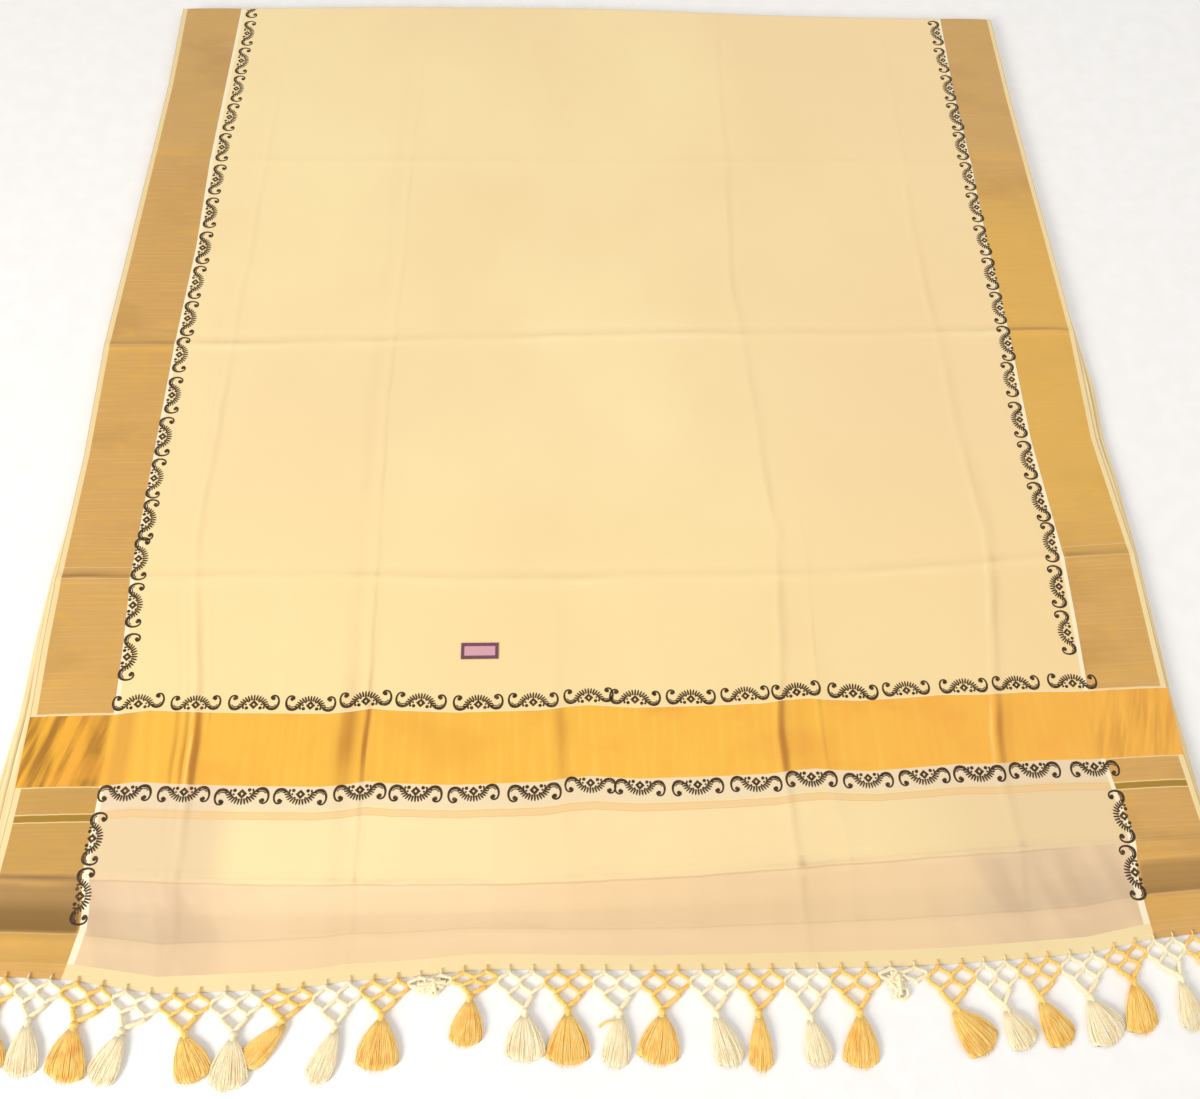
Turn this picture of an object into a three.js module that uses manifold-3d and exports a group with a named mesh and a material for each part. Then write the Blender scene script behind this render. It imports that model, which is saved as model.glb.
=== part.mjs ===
// A block printed cotton saree with a knotted tassel fringe, folded in five layers and laid flat.
// Millimetres. X runs across the cloth, Y runs from the fringed end to the far fold, and Z is up.
// Every point of the cloth has two cloth coordinates: across, measured from the middle of the width,
// and along, measured from the hem edge at the fringe.
import * as THREE from 'three';
import { mergeVertices } from 'three/addons/utils/BufferGeometryUtils.js';
import Module from 'manifold-3d';

const wasm = await Module();
wasm.setup();

// Cloth and fold
const wall = 1.2;
const seamGap = 0.3;
const hiddenLayers = 4;
const layerHeight = 3.1;
const stackHeight = hiddenLayers * layerHeight;
const topLevel = stackHeight + seamGap + wall;
const floorLevel = wall;
const farFoldRadius = 4;
const farFoldTurn = 1.3;

// Woven stretches, along the cloth
const hemDepth = 12;
const endPanelDepth = 93;
const bandStart = 183.5;
const bandEnd = 256.5;
const farFoldStart = 1317;
const farFoldEnd = farFoldStart + farFoldRadius * farFoldTurn;

// Lines across the cloth as it lies, read at five places from the left edge to the right one
const places = [-590, -295, 0, 295, 590];
const crossLines = [
  { along: 0, lies: [11, -8, -1, 3, 24] },
  { along: 33, lies: [47, 34, 35, 44, 62] },
  { along: 80, lies: [91, 80, 79, 94, 108] },
  { along: 150, lies: [152, 149, 152, 158, 167] },
  { along: bandStart, lies: [181, 177, 181, 185, 195] },
  { along: bandEnd, lies: [254, 253, 256, 260, 268] },
  { along: 400, lies: [405, 403, 399, 406, 426] },
  { along: 724, lies: [712, 716, 727, 730, 735] },
  { along: 1012, lies: [1013, 1012, 1013, 1017, 1016] },
  { along: farFoldStart, lies: [1305, 1314, 1317, 1307, 1305] },
];

// Lengthwise lines of the top layer: both outer edges and the inner edges of the gold borders
const sideLines = [
  { along: 0, left: -586, innerLeft: -504, innerRight: 506, right: 588 },
  { along: bandStart, left: -583, innerLeft: -502, innerRight: 501, right: 584 },
  { along: bandEnd, left: -583, innerLeft: -501, innerRight: 500, right: 585 },
  { along: 330, left: -586, innerLeft: -504, innerRight: 505, right: 587 },
  { along: 400, left: -587, innerLeft: -509, innerRight: 508, right: 589 },
  { along: 560, left: -585, innerLeft: -508, innerRight: 502, right: 580 },
  { along: 724, left: -589, innerLeft: -507, innerRight: 506, right: 588 },
  { along: 870, left: -585, innerLeft: -502, innerRight: 505, right: 588 },
  { along: 1012, left: -581, innerLeft: -504, innerRight: 509, right: 587 },
  { along: 1160, left: -578, innerLeft: -501, innerRight: 508, right: 587 },
  { along: farFoldEnd, left: -580, innerLeft: -498, innerRight: 514, right: 589 },
];

// How far the hidden layers show past the top layer's side edges
const sidePeeks = [
  { along: endPanelDepth, left: 14, right: 8 },
  { along: bandStart, left: 16, right: 10 },
  { along: bandEnd, left: 9, right: 7 },
  { along: 400, left: 5, right: 7 },
  { along: 500, left: 3, right: 14 },
  { along: 640, left: 2, right: 15 },
  { along: 760, left: -1, right: 2 },
  { along: farFoldStart, left: -1, right: -1 },
];

// The hidden layers, the upper one first: share of the peek, and where both ends lie along the cloth
const layerEdges = [
  { share: 0.4, nearEnd: 97, farEnd: farFoldStart - 3 },
  { share: 0.8, nearEnd: 87, farEnd: farFoldStart + 1 },
  { share: 1, nearEnd: 80, farEnd: farFoldStart - 1 },
  { share: 0.6, nearEnd: 73, farEnd: farFoldStart + 2 },
];
const edgeRounding = 1.6;

// Creases: height above the cloth and half width
const crossCreases = [
  { along: 33, height: 1.6, halfWidth: 12 },
  { along: 400, height: 1.5, halfWidth: 12 },
  { along: 724, height: 1.6, halfWidth: 12 },
  { along: 1012, height: 1.4, halfWidth: 12 },
];
const lengthCreases = [
  { across: -440, height: 0.6, halfWidth: 9 },
  { across: -248, height: 0.9, halfWidth: 10 },
  { across: -50, height: 0.5, halfWidth: 9 },
  { across: 176, height: 1.0, halfWidth: 10 },
  { across: 408, height: 0.9, halfWidth: 10 },
];
const borderBillow = 0.8;

// The slope at the near end of the fold, where the cloth runs down to the surface that it lies on
const slopeStart = 52;
const slopeEnd = endPanelDepth;

// Fringe: one unit of two net meshes for each tassel, gold and cream in turn
const unitPitch = 43.6;
const netThickness = 2.4;
const netBase = 0.4;
const cordHalfWidth = 1.4;
const firstKnots = 0.31;
const secondKnots = 0.62;
const strandsPerTassel = 7;
const strandRadius = 1.2;
const strandLevel = 1.7;
const upperStrandLift = 2.7;
// Radius of a tassel's bound head, and how far below its middle
const headProfile = [[0, 2], [2.9, 0.5], [3.1, -2.5], [2.2, -4.5], [3.2, -7], [0, -9.5]];
const headFlattening = 0.8;
const headLevel = 2.7;
// As each tassel lies: head off the middle of its unit, head from the hem, swing of the tip from the
// head, length, and width of the spread tip. A tucked tassel is folded away under its own net.
const tassels = [
  { shift: 5, reach: 38, swing: 12, length: 41, spread: 20 },
  { shift: -3, reach: 36, swing: 10, length: 41, spread: 26 },
  { shift: -7, reach: 36, swing: 6, length: 42, spread: 26 },
  { shift: -8, reach: 35, swing: -5, length: 43, spread: 24 },
  { shift: -4, reach: 34, swing: 12, length: 40, spread: 26 },
  { shift: -2, reach: 37, swing: 0, length: 44, spread: 22 },
  { shift: -3, reach: 28, swing: -13, length: 43, spread: 17 },
  { shift: 1, reach: 38, swing: -13, length: 44, spread: 23 },
  { shift: -4, reach: 31, swing: -2, length: 46, spread: 34 },
  { shift: 1, reach: 21, tucked: true },
  { shift: -6, reach: 26, swing: -7, length: 40, spread: 28 },
  { shift: -2, reach: 33, swing: -2, length: 42, spread: 30 },
  { shift: -5, reach: 34, swing: 2, length: 46, spread: 32 },
  { shift: -2, reach: 37, swing: -7, length: 46, spread: 23 },
  { shift: -6, reach: 36, swing: -7, length: 44, spread: 32 },
  { shift: -1, reach: 34, swing: 9, length: 43, spread: 20 },
  { shift: -3, reach: 39, swing: -4, length: 46, spread: 20 },
  { shift: -1, reach: 40, swing: 3, length: 43, spread: 24 },
  { shift: 1, reach: 39, swing: -6, length: 45, spread: 29 },
  { shift: 0, reach: 23, tucked: true },
  { shift: 5, reach: 38, swing: 20, length: 42, spread: 24 },
  { shift: 7, reach: 37, swing: 13, length: 39, spread: 24 },
  { shift: 3, reach: 35, swing: 12, length: 45, spread: 24 },
  { shift: 3, reach: 34, swing: 6, length: 44, spread: 28 },
  { shift: 4, reach: 33, swing: -4, length: 42, spread: 24 },
  { shift: 6, reach: 37, swing: -5, length: 42, spread: 22 },
  { shift: 0, reach: 36, swing: 4, length: 43, spread: 26 },
];

// Sewn label near the band
const labelWall = 1;
const labelPlace = { across: [-156, -117], along: [312, 329] };

const colours = {
  field: 0xfbe3b0,
  panel: 0xe8cda6,
  border: 0xd0a052,
  band: 0xfdbb48,
  hem: 0xfbe8c0,
  layers: 0xf3dcb0,
  label: 0x8a4a5c,
  goldYarn: 0xe0a040,
  creamYarn: 0xf0e0b0,
};

const saree = new THREE.Group();

function addPiece(name, geometry, colour, metalness = 0) {
  const material = new THREE.MeshStandardMaterial({ color: colour, roughness: 0.8, metalness });
  const mesh = new THREE.Mesh(geometry, material);
  mesh.name = name;
  saree.add(mesh);
}

// The two rows of a table on either side of a distance along the cloth, and the share between them
function rowsAround(table, along) {
  let next = table.findIndex((row) => row.along > along);
  if (next === -1) next = table.length - 1;
  next = Math.max(next, 1);
  const before = table[next - 1];
  const after = table[next];
  return { before, after, share: (along - before.along) / (after.along - before.along) };
}

function readTable(table, column, along) {
  const { before, after, share } = rowsAround(table, along);
  return THREE.MathUtils.lerp(before[column], after[column], share);
}

// A smooth curve through the five places of a cross line
function readPlaces(values, x) {
  const step = places[1] - places[0];
  const position = THREE.MathUtils.clamp((x - places[0]) / step, 0, places.length - 1.001);
  const index = Math.floor(position);
  const share = position - index;
  const at = (i) => values[THREE.MathUtils.clamp(i, 0, values.length - 1)];
  const slopeHere = (at(index + 1) - at(index - 1)) / 2;
  const slopeNext = (at(index + 2) - at(index)) / 2;
  const rise = at(index + 1) - at(index);
  return at(index) + slopeHere * share
    + (3 * rise - 2 * slopeHere - slopeNext) * share ** 2
    + (slopeHere + slopeNext - 2 * rise) * share ** 3;
}

function lineY(x, along) {
  const { before, after, share } = rowsAround(crossLines, along);
  return THREE.MathUtils.lerp(readPlaces(before.lies, x), readPlaces(after.lies, x), share);
}

// Across is measured on the cloth, so the borders and the field stretch between the side lines
const clothEdge = 588;
const clothInner = 505;

function lineX(across, along) {
  const knots = [-clothEdge, -clothInner, clothInner, clothEdge];
  const columns = ['left', 'innerLeft', 'innerRight', 'right'];
  const part = across < -clothInner ? 0 : across > clothInner ? 2 : 1;
  const share = (across - knots[part]) / (knots[part + 1] - knots[part]);
  const from = readTable(sideLines, columns[part], along);
  const to = readTable(sideLines, columns[part + 1], along);
  return THREE.MathUtils.lerp(from, to, share);
}

function tent(distance, halfWidth) {
  return Math.max(0, 1 - Math.abs(distance) / halfWidth);
}

function clothHeight(across, along) {
  const slope = THREE.MathUtils.smoothstep(along, slopeStart, slopeEnd);
  let height = THREE.MathUtils.lerp(floorLevel, topLevel, slope);
  for (const crease of crossCreases) {
    height += crease.height * tent(along - crease.along, crease.halfWidth);
  }
  for (const crease of lengthCreases) {
    height += crease.height * slope * tent(across - crease.across, crease.halfWidth);
  }
  const borderMiddle = (clothEdge + clothInner) / 2;
  const borderHalf = (clothEdge - clothInner) / 2;
  return height + borderBillow * slope * tent(Math.abs(across) - borderMiddle, borderHalf);
}

// A point on the upper face of the top layer, which rolls over the far fold at its end
function clothPoint(across, along) {
  const turn = Math.max(0, along - farFoldStart) / farFoldRadius;
  const flatAlong = Math.min(along, farFoldStart);
  const x = lineX(across, along);
  const y = lineY(x, flatAlong) + farFoldRadius * Math.sin(turn);
  const z = clothHeight(across, flatAlong) - farFoldRadius * (1 - Math.cos(turn));
  return new THREE.Vector3(x, y, z);
}

function clothNormal(across, along) {
  const reach = 0.5;
  const acrossWay = clothPoint(across + reach, along).sub(clothPoint(across - reach, along));
  const alongWay = clothPoint(across, along + reach).sub(clothPoint(across, along - reach));
  return acrossWay.cross(alongWay).normalize();
}

function closedGeometry(points, triangles) {
  const geometry = new THREE.BufferGeometry();
  geometry.setAttribute('position', new THREE.Float32BufferAttribute(points.flatMap((p) => p.toArray()), 3));
  geometry.setIndex(triangles.flat());
  return geometry;
}

// A wall of cloth over a grid of cloth coordinates, with its upper face lifted off the cloth by lift
function clothPanel(acrossList, alongList, thickness = wall, lift = 0) {
  const columns = acrossList.length;
  const rows = alongList.length;
  const upper = [];
  const lower = [];
  for (const along of alongList) {
    for (const across of acrossList) {
      const point = clothPoint(across, along);
      const normal = clothNormal(across, along);
      upper.push(point.clone().addScaledVector(normal, lift));
      const under = point.addScaledVector(normal, lift - thickness);
      under.z = Math.max(under.z, 0);
      lower.push(under);
    }
  }
  const shift = upper.length;
  const triangles = [];
  const quad = (a, b, c, d) => triangles.push([a, b, c], [a, c, d]);
  const at = (row, column) => row * columns + column;
  for (let row = 0; row < rows - 1; row += 1) {
    for (let column = 0; column < columns - 1; column += 1) {
      const corners = [at(row, column), at(row, column + 1), at(row + 1, column + 1), at(row + 1, column)];
      quad(...corners);
      quad(...corners.map((corner) => corner + shift).reverse());
    }
  }
  const rim = [];
  for (let column = 0; column < columns - 1; column += 1) rim.push(at(0, column));
  for (let row = 0; row < rows - 1; row += 1) rim.push(at(row, columns - 1));
  for (let column = columns - 1; column > 0; column -= 1) rim.push(at(rows - 1, column));
  for (let row = rows - 1; row > 0; row -= 1) rim.push(at(row, 0));
  rim.forEach((corner, i) => {
    const following = rim[(i + 1) % rim.length];
    quad(corner, corner + shift, following + shift, following);
  });
  return closedGeometry([...upper, ...lower], triangles);
}

// Stations from one end to the other, no further apart than step, with one at each crease
function stations(from, to, step, creases) {
  const fixed = creases.flatMap(({ middle, halfWidth }) => [middle - halfWidth, middle, middle + halfWidth]);
  const inside = fixed.filter((value) => value > from + 2 && value < to - 2);
  const stops = [from, ...inside.sort((a, b) => a - b), to];
  const list = [from];
  for (let i = 1; i < stops.length; i += 1) {
    const parts = Math.ceil((stops[i] - stops[i - 1]) / step);
    for (let k = 1; k <= parts; k += 1) {
      list.push(THREE.MathUtils.lerp(stops[i - 1], stops[i], k / parts));
    }
  }
  return list;
}

const acrossStep = 100;
const alongStep = 110;
const borderStep = 42;
const slopeStep = 14;
const acrossCreases = lengthCreases.map(({ across, halfWidth }) => ({ middle: across, halfWidth }));
const alongCreases = crossCreases.map(({ along, halfWidth }) => ({ middle: along, halfWidth }));
const halfGap = seamGap / 2;

const fieldColumns = stations(-clothInner + halfGap, clothInner - halfGap, acrossStep, acrossCreases);
const leftColumns = stations(-clothEdge, -clothInner - halfGap, borderStep, []);
const rightColumns = stations(clothInner + halfGap, clothEdge, borderStep, []);
const allColumns = [...leftColumns.slice(0, -1), -clothInner, ...fieldColumns.slice(1, -1), clothInner,
  ...rightColumns.slice(1)];

const slopeRows = stations(slopeStart, slopeEnd - halfGap, slopeStep, []);
const foldRows = [0.33, 0.66, 1].map((share) => THREE.MathUtils.lerp(farFoldStart, farFoldEnd, share));
const bodyRows = [...stations(bandEnd + halfGap, farFoldStart, alongStep, alongCreases), ...foldRows];
const bandRows = stations(bandStart + halfGap, bandEnd - halfGap, alongStep, []);
const fieldRows = stations(slopeEnd + halfGap, bandStart - halfGap, 50, []);
const panelRows = [...stations(hemDepth + halfGap, slopeStart, 40, alongCreases).slice(0, -1), ...slopeRows];
const borderRows = [...panelRows.slice(0, -1), slopeEnd, ...fieldRows.slice(1)];
const hemRows = [0, hemDepth - halfGap];

function addTopLayer() {
  addPiece('body_field', clothPanel(fieldColumns, bodyRows), colours.field);
  addPiece('body_border_left', clothPanel(leftColumns, bodyRows), colours.border, 0.3);
  addPiece('body_border_right', clothPanel(rightColumns, bodyRows), colours.border, 0.3);
  addPiece('pallu_band', clothPanel(allColumns, bandRows), colours.band, 0.3);
  addPiece('pallu_field', clothPanel(fieldColumns, fieldRows), colours.field);
  addPiece('pallu_end_panel', clothPanel(fieldColumns, panelRows), colours.panel);
  addPiece('pallu_border_left', clothPanel(leftColumns, borderRows), colours.border, 0.3);
  addPiece('pallu_border_right', clothPanel(rightColumns, borderRows), colours.border, 0.3);
  addPiece('hem', clothPanel(allColumns, hemRows), colours.hem);
}

function addLabel() {
  const lift = seamGap + labelWall;
  const geometry = clothPanel(labelPlace.across, labelPlace.along, labelWall, lift);
  addPiece('label', geometry, colours.label);
}

// One ring of the hidden layers: the outline of a layer at one height, moved out or in by offset
const ringAcross = stations(-0.496, 0.496, 0.1, []);
const ringAlong = stations(0.004, 0.996, 0.05, []);

function layerRing(edge, height, offset) {
  const near = edge.nearEnd - offset;
  const far = edge.farEnd + offset;
  const sideX = (side, along) => {
    const peek = readTable(sidePeeks, side, along) * edge.share + offset;
    const outer = readTable(sideLines, side, along);
    return outer + Math.sign(outer) * (peek - 0.5);
  };
  const ringPoint = (across, along) => {
    const x = THREE.MathUtils.lerp(sideX('left', along), sideX('right', along), across + 0.5);
    return new THREE.Vector3(x, lineY(x, along), height);
  };
  const rows = ringAlong.map((share) => THREE.MathUtils.lerp(near, far, share));
  return [
    ...ringAcross.map((across) => ringPoint(across, near)),
    ...rows.map((along) => ringPoint(0.5, along)),
    ...[...ringAcross].reverse().map((across) => ringPoint(across, far)),
    ...[...rows].reverse().map((along) => ringPoint(-0.5, along)),
  ];
}

// The four hidden layers as one solid, with a rounded edge for each layer and a groove between two
function addHiddenLayers() {
  const rings = [];
  for (let index = hiddenLayers - 1; index >= 0; index -= 1) {
    const edge = layerEdges[index];
    const bottom = (hiddenLayers - 1 - index) * layerHeight;
    const lowest = index === hiddenLayers - 1;
    const highest = index === 0;
    if (lowest) rings.push(layerRing(edge, bottom, -edgeRounding / 2));
    rings.push(layerRing(edge, bottom + layerHeight * 0.3, 0));
    rings.push(layerRing(edge, bottom + layerHeight * 0.7, 0));
    if (highest) {
      rings.push(layerRing(edge, bottom + layerHeight, -edgeRounding / 2));
    } else {
      const above = layerEdges[index - 1];
      const inner = edge.share < above.share ? edge : above;
      const groove = {
        share: inner.share,
        nearEnd: Math.max(edge.nearEnd, above.nearEnd),
        farEnd: Math.min(edge.farEnd, above.farEnd),
      };
      rings.push(layerRing(groove, bottom + layerHeight, -edgeRounding));
    }
  }
  const count = rings[0].length;
  const triangles = [];
  for (let ring = 0; ring < rings.length - 1; ring += 1) {
    for (let i = 0; i < count; i += 1) {
      const a = ring * count + i;
      const b = ring * count + (i + 1) % count;
      triangles.push([a, b, b + count], [a, b + count, a + count]);
    }
  }
  const flat = (ring) => ring.map((point) => new THREE.Vector2(point.x, point.y));
  const lastRing = (rings.length - 1) * count;
  for (const [a, b, c] of THREE.ShapeUtils.triangulateShape(flat(rings[0]), [])) {
    triangles.push([a, c, b]);
  }
  for (const [a, b, c] of THREE.ShapeUtils.triangulateShape(flat(rings.at(-1)), [])) {
    triangles.push([lastRing + a, lastRing + b, lastRing + c]);
  }
  addPiece('under_layers', closedGeometry(rings.flat(), triangles), colours.layers);
}

function toManifold(geometry) {
  const bare = geometry.clone();
  for (const name of Object.keys(bare.attributes)) {
    if (name !== 'position') bare.deleteAttribute(name);
  }
  const merged = mergeVertices(bare, 1e-4);
  const vertProperties = new Float32Array(merged.attributes.position.array);
  const triVerts = new Uint32Array(merged.index.array);
  return new wasm.Manifold(new wasm.Mesh({ numProp: 3, vertProperties, triVerts }));
}

function toGeometry(manifold) {
  const mesh = manifold.getMesh();
  const geometry = new THREE.BufferGeometry();
  geometry.setAttribute('position', new THREE.BufferAttribute(mesh.vertProperties, 3));
  geometry.setIndex(new THREE.BufferAttribute(mesh.triVerts, 1));
  return geometry;
}

// The knotted net of one unit: two meshes below its two hem knots and one above the tassel head
function netGeometry(shift, reach) {
  const half = unitPitch / 2 - 0.2;
  const knot = unitPitch / 4;
  const firstRow = -firstKnots * reach;
  const secondRow = -secondKnots * reach;
  const w = cordHalfWidth;
  const slant = 2.1 * w;
  const outline = [
    [-knot - w, -seamGap], [-knot + w, -seamGap], [0, firstRow + slant],
    [knot - w, -seamGap], [knot + w, -seamGap], [half, firstRow + w], [half, firstRow - w],
    [knot + w, secondRow - w], [shift + 1.8 * w, -reach], [shift - 1.8 * w, -reach],
    [-knot - w, secondRow - w], [-half, firstRow - w], [-half, firstRow + w],
  ];
  const shape = new THREE.Shape(outline.reverse().map(([x, y]) => new THREE.Vector2(x, y)));
  const addMesh = (corners) => {
    shape.holes.push(new THREE.Path(corners.map(([x, y]) => new THREE.Vector2(x, y))));
  };
  for (const side of [-knot, knot]) {
    const wide = knot - slant;
    addMesh([[side, -slant], [side + wide, firstRow], [side, secondRow + slant], [side - wide, firstRow]]);
  }
  const lowest = THREE.MathUtils.lerp(secondRow, -reach, 0.8);
  addMesh([[0, firstRow - slant], [knot - slant, secondRow], [shift, lowest], [slant - knot, secondRow]]);
  const geometry = new THREE.ExtrudeGeometry(shape, { depth: netThickness, bevelEnabled: false });
  return geometry.translate(0, 0, netBase);
}

// The bound head of a tassel: a flattened knot and collar turned about the tassel's own line
function headGeometry(shift, reach, swing, length) {
  const points = headProfile.map(([radius, y]) => new THREE.Vector2(radius, y)).reverse();
  const geometry = new THREE.LatheGeometry(points, 6);
  geometry.scale(1, 1, headFlattening);
  geometry.rotateZ(Math.atan2(swing, length));
  return geometry.translate(shift, -reach, netBase + headLevel);
}

// One strand of yarn: three sides, thicker at its middle and pointed at its tip
function strandGeometry(root, middle, tip, thickness) {
  const ring = (centre, radius) => [0, 1, 2].map((corner) => {
    const angle = Math.PI / 2 + corner * (Math.PI * 2) / 3;
    return new THREE.Vector3(
      centre.x + radius * Math.cos(angle),
      centre.y,
      centre.z + radius * Math.sin(angle),
    );
  });
  const points = [...ring(root, thickness * 0.45), ...ring(middle, thickness), tip];
  const triangles = [[2, 1, 0]];
  for (let i = 0; i < 3; i += 1) {
    const next = (i + 1) % 3;
    triangles.push([i, next, next + 3], [i, next + 3, i + 3], [i + 3, next + 3, 6]);
  }
  return closedGeometry(points, triangles);
}

function tasselStrands({ shift, reach, swing, length, spread }) {
  const strands = [];
  for (let i = 0; i < strandsPerTassel; i += 1) {
    const place = (2 * i) / (strandsPerTassel - 1) - 1;
    const upper = i % 2;
    const level = netBase + strandLevel + upper * upperStrandLift;
    const strandLength = length * (1 - 0.1 * place ** 2 - 0.05 * upper);
    const rootLevel = netBase + 2 + upper * 1.5;
    const root = new THREE.Vector3(shift + swing * 0.13 + place * 2.1, -reach - 6, rootLevel);
    const middle = new THREE.Vector3(
      shift + swing * 0.55 + place * spread * 0.36,
      -reach - strandLength * 0.55,
      level,
    );
    const tip = new THREE.Vector3(shift + swing + (place * spread) / 2, -reach - strandLength, level - 1);
    strands.push(strandGeometry(root, middle, tip, strandRadius));
  }
  return strands;
}

function fringeUnit(tassel) {
  let unit = toManifold(netGeometry(tassel.shift, tassel.reach));
  const swing = tassel.tucked ? 0 : tassel.swing;
  const length = tassel.tucked ? 40 : tassel.length;
  unit = unit.add(toManifold(headGeometry(tassel.shift, tassel.reach, swing, length)));
  const strands = tassel.tucked ? [] : tasselStrands(tassel);
  for (const strand of strands) unit = unit.add(toManifold(strand));
  return toGeometry(unit);
}

// Moves every point of a unit along with the hem line above it
function hangFromHem(geometry, middle) {
  const position = geometry.attributes.position;
  for (let i = 0; i < position.count; i += 1) {
    const x = position.getX(i) + middle;
    position.setX(i, x);
    position.setY(i, position.getY(i) + lineY(x, 0));
  }
  return geometry;
}

function addFringe() {
  tassels.forEach((tassel, index) => {
    const middle = (index - (tassels.length - 1) / 2) * unitPitch;
    const geometry = hangFromHem(fringeUnit(tassel), middle);
    const colour = index % 2 === 0 ? colours.goldYarn : colours.creamYarn;
    addPiece(`fringe_${String(index).padStart(2, '0')}`, geometry, colour);
  });
}

addHiddenLayers();
addTopLayer();
addLabel();
addFringe();

// The origin lies on the surface under the middle of the whole
const box = new THREE.Box3().setFromObject(saree);
const centre = box.getCenter(new THREE.Vector3());
saree.position.set(-centre.x, -centre.y, -box.min.z);

export default saree;
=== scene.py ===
from math import atan2, cos, pi, radians, sin

import bpy
import numpy as np
from mathutils import Matrix, Vector


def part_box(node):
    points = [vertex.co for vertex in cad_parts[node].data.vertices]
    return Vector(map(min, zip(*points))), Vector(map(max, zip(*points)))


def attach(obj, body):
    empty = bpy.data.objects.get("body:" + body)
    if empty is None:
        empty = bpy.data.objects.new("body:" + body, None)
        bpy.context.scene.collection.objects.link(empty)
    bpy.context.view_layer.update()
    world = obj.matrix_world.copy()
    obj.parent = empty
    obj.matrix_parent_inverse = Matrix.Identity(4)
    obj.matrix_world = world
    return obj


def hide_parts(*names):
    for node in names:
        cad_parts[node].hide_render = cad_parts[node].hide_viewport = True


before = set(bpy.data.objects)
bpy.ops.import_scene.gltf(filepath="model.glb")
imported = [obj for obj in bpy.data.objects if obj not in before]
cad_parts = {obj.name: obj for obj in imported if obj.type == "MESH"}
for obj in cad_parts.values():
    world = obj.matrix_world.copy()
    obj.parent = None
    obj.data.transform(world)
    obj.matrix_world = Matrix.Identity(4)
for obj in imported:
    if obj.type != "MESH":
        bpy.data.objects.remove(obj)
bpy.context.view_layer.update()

MM = 0.001

# Cloth, fold and woven stretches
TOP_LEVEL = 13.9
FLOOR_LEVEL = 1.2
CLOTH_THICKNESS = 0.5
OVER_FLOOR = 0.02
SLOPE_START, SLOPE_END = 52, 93
HEM_DEPTH = 12
PANEL_END = 93
BAND_START, BAND_END = 183.5, 256.5
FAR_FOLD_START = 1317
FAR_FOLD_RADIUS = 4
FAR_FOLD_END = FAR_FOLD_START + FAR_FOLD_RADIUS * 1.3
CLOTH_EDGE, CLOTH_INNER = 588, 505

# Lines across the cloth: how far along each is in the cloth, and how far from the camera's side it
# lies at five places from the left edge to the right one
PLACES = [-590, -295, 0, 295, 590]
CROSS_LINES = [
    (0, [11, -8, -1, 3, 24]),
    (33, [47, 34, 35, 44, 62]),
    (80, [91, 80, 79, 94, 108]),
    (150, [150, 148, 152, 158, 166]),
    (BAND_START, [181, 177, 181, 185, 195]),
    (BAND_END, [254, 253, 256, 260, 268]),
    (400, [405, 403, 399, 406, 426]),
    (724, [712, 716, 727, 730, 735]),
    (1012, [1013, 1012, 1013, 1017, 1016]),
    (FAR_FOLD_START, [1305, 1314, 1317, 1307, 1305]),
]

# Edges of the gold borders: along, then left, inner left, inner right and right
SIDE_LINES = [
    (0, -592, -511, 515, 594),
    (38, -590, -502, 512, 592),
    (75, -587, -504, 514, 590),
    (120, -585, -503, 508, 587),
    (BAND_START, -583, -502, 501, 584),
    (BAND_END, -583, -501, 500, 585),
    (330, -586, -504, 505, 587),
    (400, -587, -509, 508, 589),
    (560, -585, -508, 502, 580),
    (724, -589, -507, 506, 588),
    (870, -585, -502, 505, 588),
    (1012, -581, -504, 509, 587),
    (1160, -578, -501, 508, 587),
    (FAR_FOLD_END, -580, -498, 514, 589),
]

# How far the hidden layers show past the top layer's side edges: along, then left and right
SIDE_PEEKS = [
    (PANEL_END, 17, 8),
    (BAND_START, 21, 10),
    (BAND_END, 15, 8),
    (400, 9, 8),
    (500, 3, 14),
    (640, 2, 15),
    (760, -1, 2),
    (FAR_FOLD_START, -1, -1),
]

# The hidden layers, the upper one first
LAYER_HEIGHT, LAYER_GAP, GROOVE_DEPTH = 3.1, 0.05, 4.0
LAYERS = [
    {"share": 0.4, "near": 97, "far": FAR_FOLD_START - 3},
    {"share": 0.8, "near": 87, "far": FAR_FOLD_START + 1},
    {"share": 1.0, "near": 80, "far": FAR_FOLD_START - 1},
    {"share": 0.6, "near": 73, "far": FAR_FOLD_START + 2},
]

# A trough lies this many crease widths past its ridge
TROUGH_PLACE = 2.2

# Creases that run from side to side. Each has a ridge and a trough beside it, with heights in
# millimetres, and tone says how strongly painted shade darkens the far side of the crease and a painted
# highlight brightens its near side.
CROSS_CREASES = [
    {"along": 33, "ridge": 1.5, "trough": 0.3, "width": 7, "tone": 0.3},
    {"along": 83, "ridge": 0.9, "trough": 0.5, "width": 4, "tone": 0.55},
    {"along": 400, "ridge": 1.4, "trough": 0.7, "width": 5, "tone": 0.5},
    {"along": 724, "ridge": 1.6, "trough": 0.7, "width": 5, "tone": 0.6},
    {"along": 1012, "ridge": 0.7, "trough": 0.2, "width": 6, "tone": 0.2},
]
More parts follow.
